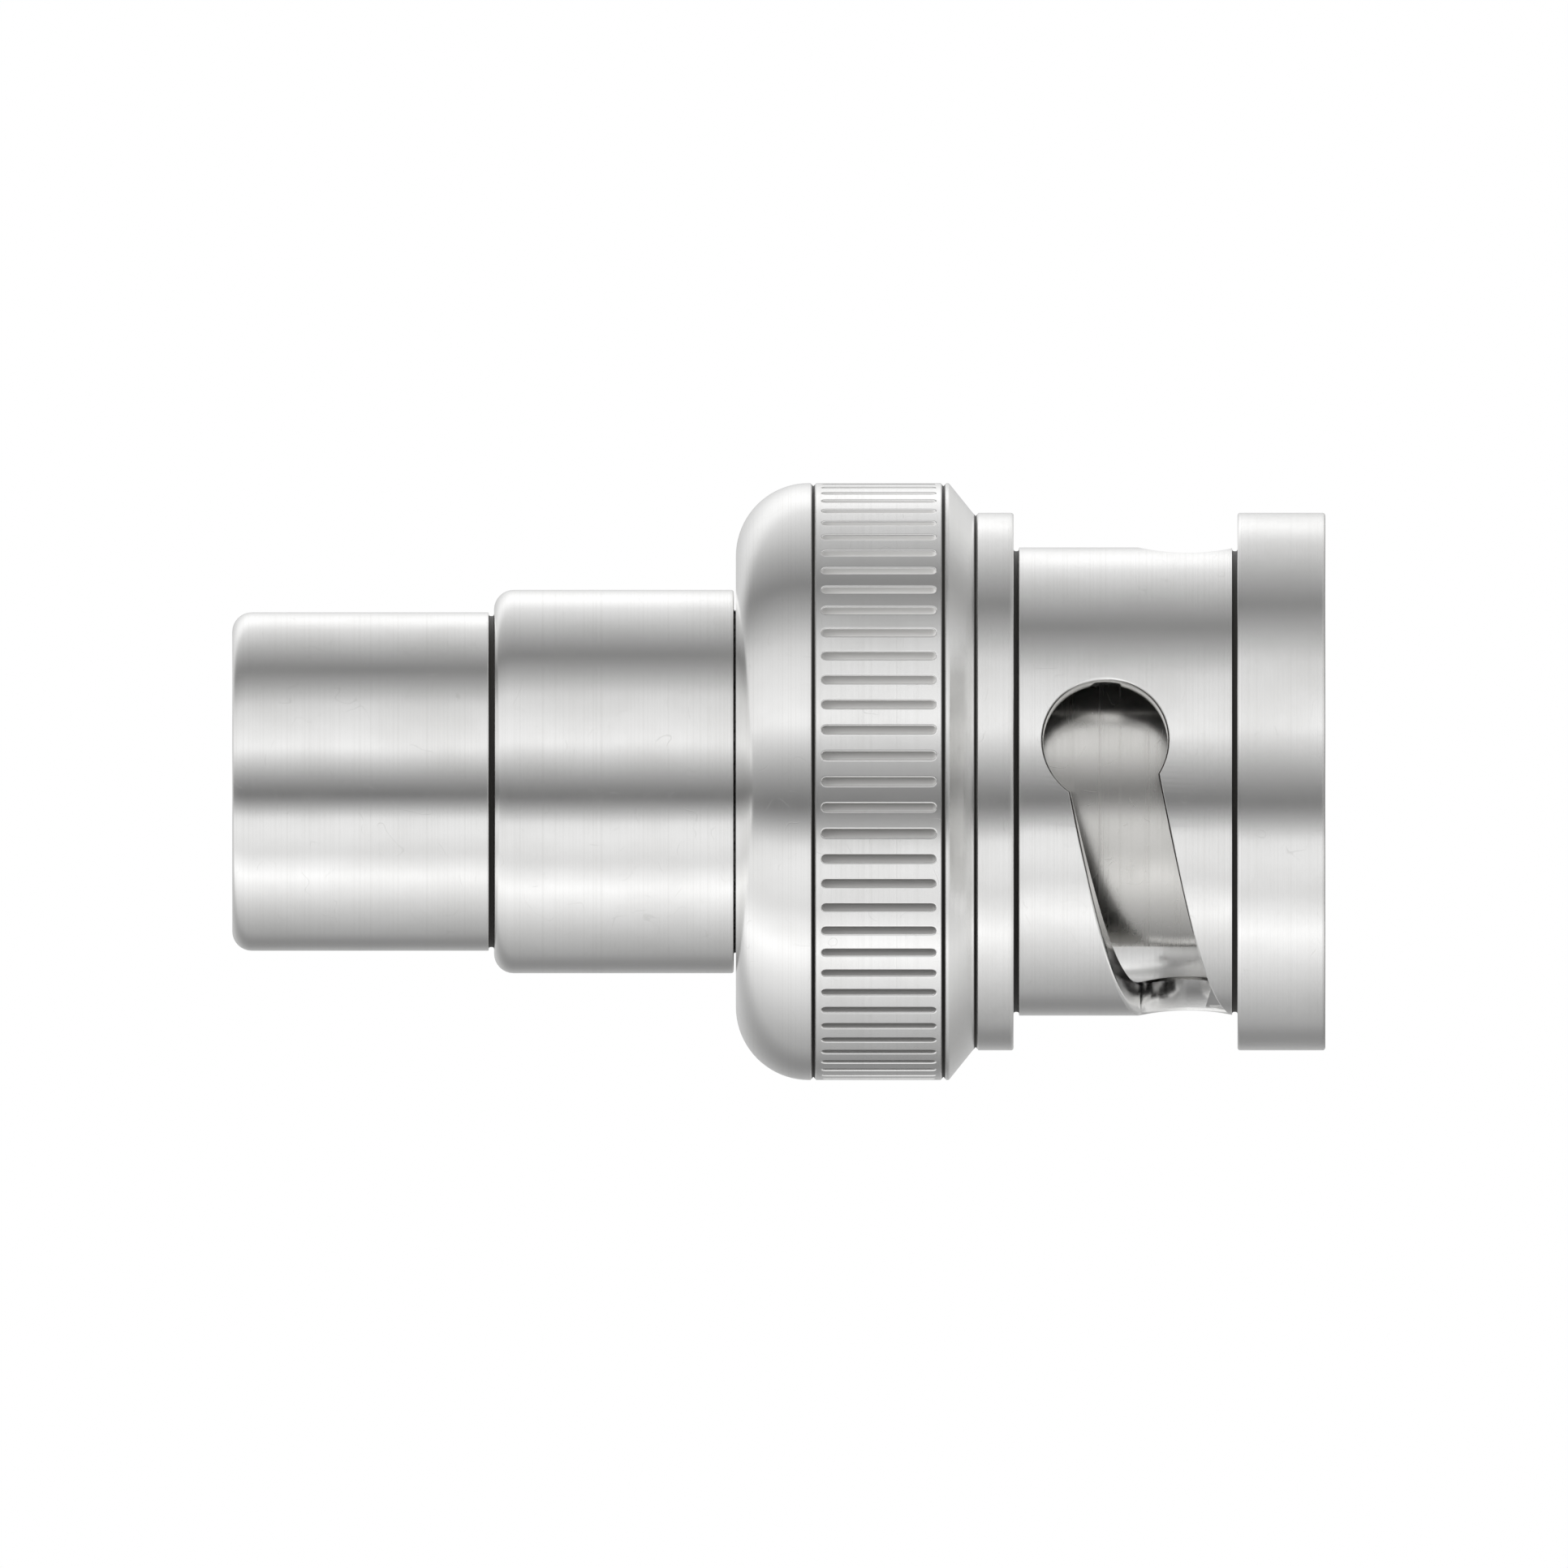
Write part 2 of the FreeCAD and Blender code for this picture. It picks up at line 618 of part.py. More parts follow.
def check_document(parts):
    """Stops the build where a feature failed or a sub-part is not one sound solid."""
    for item in document.Objects:
        if "Invalid" in item.State or "Error" in item.State:
            raise RuntimeError(f"{item.Name} failed: {item.State}")
    for part in parts:
        shape = part.Shape
        if shape.isNull() or not shape.isValid() or len(shape.Solids) != 1 or shape.Volume <= 0:
            raise RuntimeError(f"{part.Label} is not one sound solid")


def write_parts(parts):
    """Writes each sub-part to its own file."""
    os.makedirs("parts", exist_ok=True)
    for part in parts:
        part.Shape.exportStep(f"parts/{part.Label}.step")
        print(f"{part.Label}: {part.Shape.Volume:.3f} mm3")


parts = make_parts()
document.recompute()
check_document(parts)
write_parts(parts)
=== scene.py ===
"""Looks of the coaxial adapter: its turned, slotted and knurled pieces, their finishes, and the studio.

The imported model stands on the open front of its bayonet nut, with its axis on Z. Pieces are drawn in
millimetres and brought to metres when they are finished. Angles are measured about Z from the side that
faces -Y.
"""

import logging
import math
from contextlib import contextmanager
from dataclasses import dataclass, field
from enum import Enum
from typing import Any, Callable, Iterable, Iterator, Optional, Sequence, Union

import bmesh
import bpy
from mathutils import Matrix, Vector

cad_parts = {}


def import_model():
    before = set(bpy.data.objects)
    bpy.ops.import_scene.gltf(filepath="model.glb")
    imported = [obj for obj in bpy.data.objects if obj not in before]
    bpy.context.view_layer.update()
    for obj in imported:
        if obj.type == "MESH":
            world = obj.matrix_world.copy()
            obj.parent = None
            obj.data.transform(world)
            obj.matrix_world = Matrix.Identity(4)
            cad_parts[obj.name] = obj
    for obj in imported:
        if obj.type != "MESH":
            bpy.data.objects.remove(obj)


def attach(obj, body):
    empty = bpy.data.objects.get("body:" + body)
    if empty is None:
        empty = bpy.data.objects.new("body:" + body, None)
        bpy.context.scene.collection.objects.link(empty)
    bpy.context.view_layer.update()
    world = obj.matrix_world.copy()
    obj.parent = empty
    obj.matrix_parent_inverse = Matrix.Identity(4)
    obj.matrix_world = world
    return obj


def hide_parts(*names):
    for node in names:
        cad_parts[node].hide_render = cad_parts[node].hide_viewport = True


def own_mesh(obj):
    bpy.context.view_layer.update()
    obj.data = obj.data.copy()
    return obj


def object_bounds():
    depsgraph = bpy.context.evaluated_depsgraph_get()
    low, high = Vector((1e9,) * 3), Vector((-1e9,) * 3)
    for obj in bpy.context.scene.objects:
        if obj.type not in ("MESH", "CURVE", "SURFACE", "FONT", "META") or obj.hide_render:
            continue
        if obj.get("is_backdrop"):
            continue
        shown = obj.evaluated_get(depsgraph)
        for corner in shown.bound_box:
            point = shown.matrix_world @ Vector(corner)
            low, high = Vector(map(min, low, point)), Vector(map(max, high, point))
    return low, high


log = logging.getLogger("adapter")

MILLIMETRE = 0.001
QUARTER = math.pi / 2
SMOOTH_ANGLE = math.radians(36)
MERGE_MM = 0.0004

Number = Union[int, float]
Colour = tuple[float, float, float]
Row = tuple[float, ...]
Group = bpy.types.NodeTree
Material = bpy.types.Material
Mesh = bpy.types.Mesh
Piece = bpy.types.Object
Socket = bpy.types.NodeSocket


class Body(Enum):
    """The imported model's bodies that a piece can ride on."""

    ADAPTER = "adapter"
    SLIDE = "nut_slide"
    NUT = "nut"


class Slot(Enum):
    """The record's material slots."""

    NUT = "nut_plating"
    BODY = "body_plating"
    CONTACT = "contact_plating"
    SPRING = "spring_steel"
    GOLD = "gold_plating"
    INSULATOR = "white_insulator"
    SEAL = "seal_rubber"


# Node trees


class Tree:
    """A node tree that is filled through one method."""

    def __init__(self, tree: Group) -> None:
        """Takes over a shader, world or geometry tree and empties it."""
        self.tree = tree
        tree.nodes.clear()

    def node(
        self,
        kind: str,
        settings: Optional[dict[str, Any]] = None,
        inputs: Optional[dict[Union[int, str], Any]] = None,
    ) -> bpy.types.Node:
        """Adds a node.

        Args:
            kind: the node's type.
            settings: its properties, set before its inputs; a ramp's stops are places and grey levels.
            inputs: what feeds its inputs, by number or name.

        Returns:
            The new node.
        """
        made = self.tree.nodes.new(kind)
        for key, value in (settings or {}).items():
            if key == "stops":
                set_stops(made.color_ramp, value)
            else:
                setattr(made, key, value)
        for key, value in (inputs or {}).items():
            self.feed(made.inputs[key], value)
        return made

    def feed(self, socket: Socket, value: Any) -> None:
        """Links or sets an input.

        Args:
            socket: the input.
            value: a plain value, a socket, a Field, or a node whose first output is meant.
        """
        if isinstance(value, Field):
            value = value.socket
        elif isinstance(value, bpy.types.Node):
            value = value.outputs[0]
        if isinstance(value, Socket):
            self.tree.links.new(value, socket)
        else:
            socket.default_value = value

    def field(self, *description: Any) -> "Field":
        """Adds a node, described as for node, and wraps its first output."""
        return Field(self, self.node(*description).outputs[0])


def set_stops(ramp: bpy.types.ColorRamp, stops: Sequence[tuple[float, float]]) -> None:
    """Puts grey stops on a colour ramp.

    Args:
        ramp: the ramp.
        stops: place and level of each stop, in rising order of place.
    """
    while len(ramp.elements) > 1:
        ramp.elements.remove(ramp.elements[-1])
    for index, (place, level) in enumerate(stops):
        stop = ramp.elements[0] if index == 0 else ramp.elements.new(place)
        stop.position = place
        stop.color = (level, level, level, 1)


def operator_pair(operation: str) -> tuple[Callable[..., "Field"], Callable[..., "Field"]]:
    """Makes an operator of Field and its reflected form.

    Args:
        operation: the Math node that they add.

    Returns:
        The operator for a field that stands first, and the one for a field that stands second.
    """

    def plain(this: "Field", other: Union["Field", Number]) -> "Field":
        """Works on the field and what stands after it."""
        return this.math(operation, other)

    def reflected(this: "Field", other: Number) -> "Field":
        """Works on the field and what stands before it."""
        return this.math(operation, other, first=1)

    return plain, reflected


class Field:
    """A number in a node tree that Python's operators work on."""

    def __init__(self, tree: Tree, socket: Socket) -> None:
        """Wraps an output in a tree."""
        self.tree = tree
        self.socket = socket

    def math(self, operation: str, *others: Union["Field", Number], first: int = 0) -> "Field":
        """Adds a Math node.

        Args:
            operation: the node's operation.
            others: its other values, in order.
            first: which input this value goes to.

        Returns:
            The result.
        """
        values: list[Any] = list(others)
        values.insert(first, self)
        return self.tree.field("ShaderNodeMath", {"operation": operation}, dict(enumerate(values)))

    __add__, __radd__ = operator_pair("ADD")
    __sub__, __rsub__ = operator_pair("SUBTRACT")
    __mul__, __rmul__ = operator_pair("MULTIPLY")
    __truediv__, __rtruediv__ = operator_pair("DIVIDE")
    __pow__, __rpow__ = operator_pair("POWER")

    def step(self, start: Number, end: Number) -> "Field":
        """Rises smoothly from 0 at the start to 1 at the end."""
        places = {"Value": self, "From Min": start, "From Max": end, "To Min": 0.0, "To Max": 1.0}
        return self.tree.field("ShaderNodeMapRange", {"interpolation_type": "SMOOTHSTEP"}, places)


class Shader(Tree):
    """A material's tree, with the parts that every finish uses."""

    BLUR_MM = 0.02
    SKIN_MM = 0.012
    MIX_COLOURS = (6, 7)
    MIX_RESULT = 2

    def __init__(self, name: str) -> None:
        """Starts a material.

        Args:
            name: the material's name.
        """
        self.material = bpy.data.materials.new(name)
        self.material.use_nodes = True
        super().__init__(self.material.node_tree)
        self.surface = self.node("ShaderNodeBsdfPrincipled")
        output = self.node("ShaderNodeOutputMaterial", inputs={"Surface": self.surface})
        self.shown = output.inputs["Surface"]
        place = self.node("ShaderNodeTexCoord").outputs["Object"]
        parts = self.node("ShaderNodeSeparateXYZ", inputs={0: place})
        self.x, self.y, self.z = (Field(self, part) / MILLIMETRE for part in parts.outputs)
        self.radius = (self.x * self.x + self.y * self.y) ** 0.5

    def set(self, **inputs: Any) -> None:
        """Feeds inputs of the surface, named with underscores for spaces."""
        for key, value in inputs.items():
            self.feed(self.surface.inputs[key.replace("_", " ")], value)

    def vector(self, x: Any, y: Any, z: Any) -> Socket:
        """Joins three values to a vector."""
        return self.node("ShaderNodeCombineXYZ", inputs={0: x, 1: y, 2: z}).outputs[0]

    def in_millimetres(self) -> Socket:
        """Gives the place on the piece in millimetres."""
        return self.vector(self.x, self.y, self.z)

    def turning(self) -> Socket:
        """Gives a vector that is the same all round the axis, as marks of a lathe are."""
        return self.vector(self.radius, self.z, 0.0)

    def noise(self, place: Socket, scale: float, octaves: float = 2.0, weight: float = 0.5) -> Field:
        """Makes noise between 0 and 1, where weight is that of its finer octaves."""
        inputs = {"Vector": place, "Scale": scale, "Detail": octaves, "Roughness": weight}
        return self.field("ShaderNodeTexNoise", {"noise_dimensions": "3D"}, inputs)

    def mix(self, share: Any, first: Any, second: Any) -> Socket:
        """Mixes two colours.

        Args:
            share: how much of the second.
            first: colour as three numbers, or a socket.
            second: colour as three numbers, or a socket.

        Returns:
            The mixed colour.
        """
        inputs = {0: share}
        for socket, colour in zip(self.MIX_COLOURS, (first, second)):
            inputs[socket] = colour if isinstance(colour, Socket) else (*colour, 1.0)
        return self.node("ShaderNodeMix", {"data_type": "RGBA"}, inputs).outputs[self.MIX_RESULT]

    def sunk(self, band: "Band") -> Field:
        """Finds what lies below the turned surface of a band.

        Args:
            band: the band.

        Returns:
            1 in its grooves and 0 elsewhere.
        """
        blur = self.BLUR_MM
        skin = band.radius - self.SKIN_MM
        floor = band.radius - band.depth
        below = self.radius.step(skin, skin - 2 * blur)
        outside = self.radius.step(floor - 2 * blur, floor - blur)
        above_low = self.z.step(band.low - blur, band.low + blur)
        below_high = self.z.step(band.high + blur, band.high - blur)
        return below * outside * above_low * below_high

    def bump(self, height: Field, depth_mm: float) -> None:
        """Gives the surface relief, where a height of 1 is as deep as depth_mm says."""
        inputs = {"Height": height, "Distance": depth_mm * MILLIMETRE, "Strength": 1.0}
        self.set(Normal=self.node("ShaderNodeBump", inputs=inputs))


# Finishes


@dataclass(frozen=True)
class Band:
    """A stretch of a turned surface, from low to high, with grooves in it. Sizes are in millimetres."""

    radius: float
    low: float
    high: float
    depth: float = 0.11


@dataclass(frozen=True)
class Plating:
    """A thin bright plating over turned brass.

    Its roughness is that of a polished surface, smear is how much that varies in smears, and turning_mm is
    the depth of the marks of the lathe. The rolled grooves of knurls stay matte, and lines are painted
    near-black as painted shade.
    """

    name: str
    colour: Colour
    worn: Colour
    roughness: float = 0.13
    smear: float = 0.05
    turning_mm: float = 0.0008
    knurls: tuple[Band, ...] = ()
    lines: tuple[Band, ...] = ()

    MATTE = (0.67, 0.665, 0.655)
    MATTE_METAL = 0.05
    # Painted shade: the near-black colour that the fine lines and relief grooves are painted with
    PAINTED_SHADE = (0.045, 0.043, 0.040)
    PAINTED_SHADE_METAL = 0.3
    GROOVE_ROUGHNESS = 0.30
    FINE_SHARE = 0.7
    SPECULAR = 0.15

    def material(self) -> Material:
        """Makes the material.

        Returns:
            The new material.
        """
        shader = Shader(self.name)
        place = shader.in_millimetres()
        smears = shader.noise(place, scale=0.45, octaves=3.0, weight=0.55).step(0.35, 0.75)
        specks = shader.noise(place, scale=9.0, octaves=4.0, weight=0.7).step(0.62, 0.80)
        marks = shader.noise(shader.turning(), scale=14.0, octaves=3.0, weight=0.65)
        streaks = marks.step(0.45, 0.75)
        veins = (shader.noise(place, scale=0.9, octaves=1.0) - 0.5).math("ABSOLUTE").step(0.004, 0.0)
        hairlines = veins * shader.noise(place, scale=2.3, octaves=1.0).step(0.50, 0.60)
        fine = (specks + streaks + hairlines * 2) * (self.smear * self.FINE_SHARE)
        roughness = self.roughness + smears * self.smear + fine
        stain = smears * 0.35 + specks * 0.25 + streaks * 0.25 + hairlines * 0.4
        colour = shader.mix(stain, self.colour, self.worn)
        metal: Any = 1.0
        # Knurl grooves take the matte colour; the fine lines and relief grooves take the painted shade
        kinds = ((self.knurls, self.MATTE, self.MATTE_METAL), (self.lines, self.PAINTED_SHADE, self.PAINTED_SHADE_METAL))
        for bands, tint, keep in kinds:
            for band in bands:
                sunk = shader.sunk(band)
                roughness = roughness + sunk * self.GROOVE_ROUGHNESS
                metal = metal * (1.0 - sunk * (1.0 - keep))
                colour = shader.mix(sunk, colour, tint)
        shader.set(Metallic=metal, Roughness=roughness, Base_Color=colour, Specular_IOR_Level=self.SPECULAR)
        shader.bump(marks + specks * 0.3 - hairlines * 0.5, self.turning_mm)
        return shader.material


@dataclass(frozen=True)
class Insulator:
    """A white, silky fluoropolymer, turned from rod, with shade as its colour in the marks of the lathe."""

    name: str
    colour: Colour
    shade: Colour
    turning_mm: float = 0.004

    def material(self) -> Material:
        """Makes the material.

        Returns:
            The new material.
        """
        shader = Shader(self.name)
        marks = shader.noise(shader.turning(), scale=9.0, octaves=3.0, weight=0.6)
        cloud = shader.noise(shader.in_millimetres(), scale=0.8)
        shader.set(
            Base_Color=shader.mix(marks.step(0.3, 0.7) * 0.5 + cloud * 0.3, self.colour, self.shade),
            Roughness=0.36 + cloud * 0.10,
            Specular_IOR_Level=0.35,
            Subsurface_Weight=0.25,
            Subsurface_Radius=(0.0006, 0.0006, 0.0005),
        )
        shader.bump(marks, self.turning_mm)
        return shader.material


@dataclass(frozen=True)
class Rubber:
    """A matte silicone rubber with a fine grain, and dust as its colour where dust lies on it."""

    name: str
    colour: Colour
    dust: Colour
    grain_mm: float = 0.006

    def material(self) -> Material:
        """Makes the material.

        Returns:
            The new material.
        """
        shader = Shader(self.name)
        grain = shader.noise(shader.in_millimetres(), scale=22.0, octaves=4.0, weight=0.7)
        dust = shader.noise(shader.in_millimetres(), scale=2.5, octaves=3.0).step(0.5, 0.8)
        shader.set(
            Base_Color=shader.mix(dust * 0.35 + grain * 0.1, self.colour, self.dust),
            Roughness=0.62 + grain * 0.2,
            Specular_IOR_Level=0.3,
        )
        shader.bump(grain, self.grain_mm)
        return shader.material


NICKEL = (0.93, 0.928, 0.922)
NICKEL_WORN = (0.78, 0.775, 0.76)
NUT_FINISH = Plating(
    "nut_nickel", NICKEL, NICKEL_WORN,
    knurls=(Band(7.32, 9.46, 12.43, 0.17),),
    # The fine lines and relief grooves in these bands are painted near-black as painted shade
    lines=(
        Band(5.74, 2.12, 2.32), Band(5.74, 7.47, 7.67), Band(6.59, 8.54, 8.66),
        Band(7.32, 9.27, 9.445), Band(7.32, 12.445, 12.62),
    ),
)
# The body's relief groove in this band is painted near-black as painted shade
BODY_FINISH = Plating("body_nickel", NICKEL, NICKEL_WORN, lines=(Band(4.15, 20.35, 20.56),))
CONTACT_FINISH = Plating("contact_nickel", (0.72, 0.71, 0.69), (0.55, 0.54, 0.51), 0.22, smear=0.08)
SPRING_FINISH = Plating("spring_steel", (0.60, 0.60, 0.61), (0.42, 0.42, 0.43), 0.24)
GOLD_FINISH = Plating("gold", (0.93, 0.70, 0.30), (0.78, 0.52, 0.20), 0.17)
INSULATOR_FINISH = Insulator("fluoropolymer", (0.86, 0.86, 0.84), (0.70, 0.70, 0.68))
SEAL_FINISH = Rubber("silicone", (0.42, 0.045, 0.025), (0.50, 0.22, 0.18))


# Outlines of turned pieces

LINE_DEPTH = 0.08
RELIEF_DEPTH = 0.09
RELIEF_WIDTH = 0.13


@dataclass(frozen=True)
class Corner:
    """A corner of a turned outline, in millimetres.

    Attributes:
        across: distance from the axis.
        along: height.
        radius: radius of its rounding, or 0 where it is sharp.
        steps: facets of the rounding.
    """

    across: float
    along: float
    radius: float = 0.0
    steps: int = 3

    @property
    def spot(self) -> Vector:
        """The corner as a point."""
        return Vector((self.across, self.along))


@dataclass
class Outline:
    """An outline that is turned about the axis, with its corners rounded.

    Attributes:
        rows: what makes each Corner, in order.
        closed: whether the last corner leads back to the first.
        support: distance of the points that keep the faces beside a rounding flat.
        room: how many times that distance a side needs for such a point.
    """

    rows: Sequence[Row]
    closed: bool = True
    support: float = 0.03
    room: float = 2.5

    def points(self) -> list[Vector]:
        """Gives the points of the outline.

        Returns:
            Points of distance and height, in order.
        """
        corners = [Corner(*row) for row in self.rows]
        count = len(corners)
        points: list[Vector] = []
        for index, corner in enumerate(corners):
            at_end = not self.closed and index in (0, count - 1)
            if at_end or corner.radius == 0:
                points.append(corner.spot)
            else:
                points += self.rounded(corners[index - 1], corner, corners[(index + 1) % count])
        return points

    def rounded(self, before: Corner, corner: Corner, after: Corner) -> list[Vector]:
        """Rounds one corner.

        Args:
            before: the corner before it.
            corner: the corner.
            after: the corner after it.

        Returns:
            The points of the rounding, with a supporting point on each side where there is room.
        """
        arriving = (corner.spot - before.spot).normalized()
        leaving = (after.spot - corner.spot).normalized()
        turn = arriving.angle(leaving)
        reach = corner.radius * math.tan(turn / 2)
        inwards = (leaving - arriving * arriving.dot(leaving)).normalized()
        start = corner.spot - arriving * reach
        points = []
        for step in range(corner.steps + 1):
            angle = turn * step / corner.steps
            along = arriving * corner.radius * math.sin(angle)
            points.append(start + along + inwards * corner.radius * (1 - math.cos(angle)))
        needed = self.room * self.support
        if (corner.spot - before.spot).length - reach - before.radius > needed:
            points.insert(0, points[0] - arriving * self.support)
        if (after.spot - corner.spot).length - reach - after.radius > needed:
            points.append(points[-1] + leaving * self.support)
        return points


def fine_line(radius: float, low: float, high: float, edge: float = 0.0) -> list[Row]:
    """Gives the rising rows of a fine line in a surface of that radius, with that rounding on its edges."""
    floor = (radius - LINE_DEPTH, (low + high) / 2, 0.015, 2)
    return [(radius, low, edge, 2), floor, (radius, high, edge, 2)]


def relief(radius: float, shoulder: float, side: int) -> list[Row]:
    """Gives the rows of the thin groove that a tool leaves at the foot of a shoulder.

    Args:
        radius: radius of the surface beside the shoulder.
        shoulder: height of the shoulder.
        side: 1 where that surface lies above the shoulder, -1 where it lies below.

    Returns:
        Three rows in rising order.
    """
    floor, edge = radius - RELIEF_DEPTH, shoulder + side * RELIEF_WIDTH
    rows = [(floor, shoulder, 0.04, 2), (floor, edge, 0.04, 2), (radius, edge, 0.02, 2)]
    return rows[::side]


# Mesh tools


class MeshTree(Tree):
    """A geometry tree that takes a mesh in and gives real, merged and dressed geometry."""

    def __init__(self, name: str, **inputs: str) -> None:
        """Starts the tree.

        Args:
            name: its name.
            inputs: type of each input between the geometry and the material, by name.
        """
        group = bpy.data.node_groups.new(name, "GeometryNodeTree")
        super().__init__(group)
        group.interface.new_socket("Geometry", in_out="OUTPUT", socket_type="NodeSocketGeometry")
        for label, kind in {"Geometry": "Geometry", **inputs, "Material": "Material"}.items():
            group.interface.new_socket(label, in_out="INPUT", socket_type="NodeSocket" + kind)
        self.given = self.node("NodeGroupInput").outputs
        self.geometry = self.given["Geometry"]

    def number(self, name: str) -> Field:
        """Gives an input of the tree that is a number."""
        return Field(self, self.given[name])

    def place(self) -> Iterator[Field]:
        """Gives the three parts of each point's place."""
        parts = self.node("ShaderNodeSeparateXYZ", inputs={0: self.node("GeometryNodeInputPosition")})
        return (Field(self, part) for part in parts.outputs)

    def end(self, shape: bpy.types.Node) -> Group:
        """Ends the tree.

        Args:
            shape: the node that makes its geometry.

        Returns:
            The node group.
        """
        real = self.node("GeometryNodeRealizeInstances", inputs={0: shape})
        merged = self.node("GeometryNodeMergeByDistance", inputs={"Geometry": real, "Distance": MERGE_MM})
        dress = {"Geometry": merged, "Material": self.given["Material"]}
        dressed = self.node("GeometryNodeSetMaterial", inputs=dress)
        self.node("NodeGroupOutput", inputs={0: dressed})
        return self.tree


class Workshop:
    """Makes meshes through geometry trees, and finishes them as pieces."""

    PATH_RADIUS = 1.0

    def __init__(self) -> None:
        """Builds the geometry trees once."""
        self.lathe = self.make_lathe()
        self.ring = self.make_ring()
        self.wave = self.make_wave()
        self.saw = self.make_saw()

    def make_lathe(self) -> Group:
        """Makes the tree that turns an outline about Z.

        Returns:
            The node group, with inputs Segments and Material.
        """
        tree = MeshTree("turned about the axis", Segments="Int")
        across, _, up = tree.place()
        turned = tree.node("ShaderNodeCombineXYZ", inputs={0: across - self.PATH_RADIUS, 1: up * -1.0})
        flat = tree.node("GeometryNodeSetPosition", inputs={"Geometry": tree.geometry, "Position": turned})
        outline = tree.node("GeometryNodeMeshToCurve", inputs={"Mesh": flat})
        circle = {"Resolution": tree.number("Segments"), "Radius": self.PATH_RADIUS}
        path = tree.node("GeometryNodeCurvePrimitiveCircle", inputs=circle)
        sweep = {"Curve": path, "Profile Curve": outline}
        return tree.end(tree.node("GeometryNodeCurveToMesh", inputs=sweep))

    def make_ring(self) -> Group:
        """Makes the tree that repeats a shape evenly about Z.

        Returns:
            The node group, with inputs Count and Material.
        """
        tree = MeshTree("repeated round the axis", Count="Int")
        count = tree.number("Count")
        spots = tree.node("GeometryNodePoints", inputs={"Count": count})
        angle = tree.field("GeometryNodeInputIndex") * math.tau / count
        turn = tree.node("ShaderNodeCombineXYZ", inputs={2: angle})
        spread = {"Points": spots, "Instance": tree.geometry, "Rotation": turn}
        return tree.end(tree.node("GeometryNodeInstanceOnPoints", inputs=spread))

    def make_wave(self) -> Group:
        """Makes the tree that bends a flat ring into waves.

        Returns:
            The node group, with inputs Waves, Rise and Material.
        """
        tree = MeshTree("bent into waves", Waves="Int", Rise="Float")
        x, y, _ = tree.place()
        crest = (y.math("ARCTAN2", x) * tree.number("Waves")).math("COSINE")
        lift = (crest + 1.0) * 0.5 * tree.number("Rise")
        bend = {"Geometry": tree.geometry, "Offset": tree.node("ShaderNodeCombineXYZ", inputs={2: lift})}
        return tree.end(tree.node("GeometryNodeSetPosition", inputs=bend))

    def make_saw(self) -> Group:
        """Makes the tree that takes a cutter out of a piece.

        Returns:
            The node group, with inputs Cutter and Material.
        """
        tree = MeshTree("cut", Cutter="Object")
        cutter = tree.node("GeometryNodeObjectInfo", inputs={0: tree.given["Cutter"]}).outputs["Geometry"]
        exact = {"operation": "DIFFERENCE", "solver": "EXACT"}
        return tree.end(tree.node("GeometryNodeMeshBoolean", exact, {0: tree.geometry, 1: cutter}))

    def run(self, mesh: Mesh, group: Group, **values: Any) -> Mesh:
        """Sends a mesh through a tree.

        Args:
            mesh: what goes in.
            group: the tree.
            values: its inputs by name.

        Returns:
            A plain mesh.
        """
        carrier = placed("carrier", mesh)
        modifier = carrier.modifiers.new("tree", "NODES")
        modifier.node_group = group
        for item in group.interface.items_tree:
            if item.in_out == "INPUT" and item.name in values:
                modifier[item.identifier] = values[item.name]
        bpy.context.view_layer.update()
        evaluated = carrier.evaluated_get(bpy.context.evaluated_depsgraph_get())
        result = bpy.data.meshes.new_from_object(evaluated)
        bpy.data.objects.remove(carrier)
        return result

    def turn(self, outline: Outline, segments: int) -> Mesh:
        """Turns an outline about the axis.

        Args:
            outline: the outline.
            segments: flats round the axis.

        Returns:
            The turned mesh, in millimetres.
        """
        points = outline.points()
        mesh = bpy.data.meshes.new("outline")
        edges = [(index, index + 1) for index in range(len(points) - 1)]
        if outline.closed:
            edges.append((len(points) - 1, 0))
        mesh.from_pydata([(point.x, 0.0, point.y) for point in points], edges, [])
        return self.run(mesh, self.lathe, Segments=segments)

    def repeat(self, mesh: Mesh, count: int) -> Mesh:
        """Repeats a mesh evenly about the axis."""
        return self.run(mesh, self.ring, Count=count)

    def cut(self, mesh: Mesh, cutter: Mesh) -> Mesh:
        """Takes a cutter out of a mesh.

        Args:
            mesh: the metal.
            cutter: the closed shape that is taken away.

        Returns:
            What is left.
        """
        close(mesh)
        close(cutter)
        tool = placed("cutter", cutter)
        result = self.run(mesh, self.saw, Cutter=tool)
        bpy.data.objects.remove(tool)
        return result

    def finish(
        self, name: str, mesh: Mesh, material: Material, node: str,
        body: Body = Body.ADAPTER,
    ) -> Piece:
        """Makes a mesh a piece of the adapter.

        Args:
            name: the piece's name.
            mesh: its mesh, in millimetres.
            material: its finish.
            node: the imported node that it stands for.
            body: the body that it rides on.

        Returns:
            The piece.
        """
        close(mesh)
        mesh.transform(Matrix.Scale(MILLIMETRE, 4))
        mesh.materials.clear()
        mesh.materials.append(material)
        mesh.polygons.foreach_set("material_index", [0] * len(mesh.polygons))
        mesh.shade_smooth()
        mesh.set_sharp_from_angle(angle=SMOOTH_ANGLE)
        mesh.update()
        piece = placed(name, mesh)
        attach(piece, body.value)
        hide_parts(node)
        log.info("%s: %d faces on %s", name, len(mesh.polygons), body.value)
        return piece


def placed(name: str, data: Any) -> Piece:
    """Puts a mesh, a lamp or a camera in the scene.

    Args:
        name: the object's name.
        data: the mesh, lamp or camera.

    Returns:
        The object.
    """
    made = bpy.data.objects.new(name, data)
    bpy.context.scene.collection.objects.link(made)
    return made


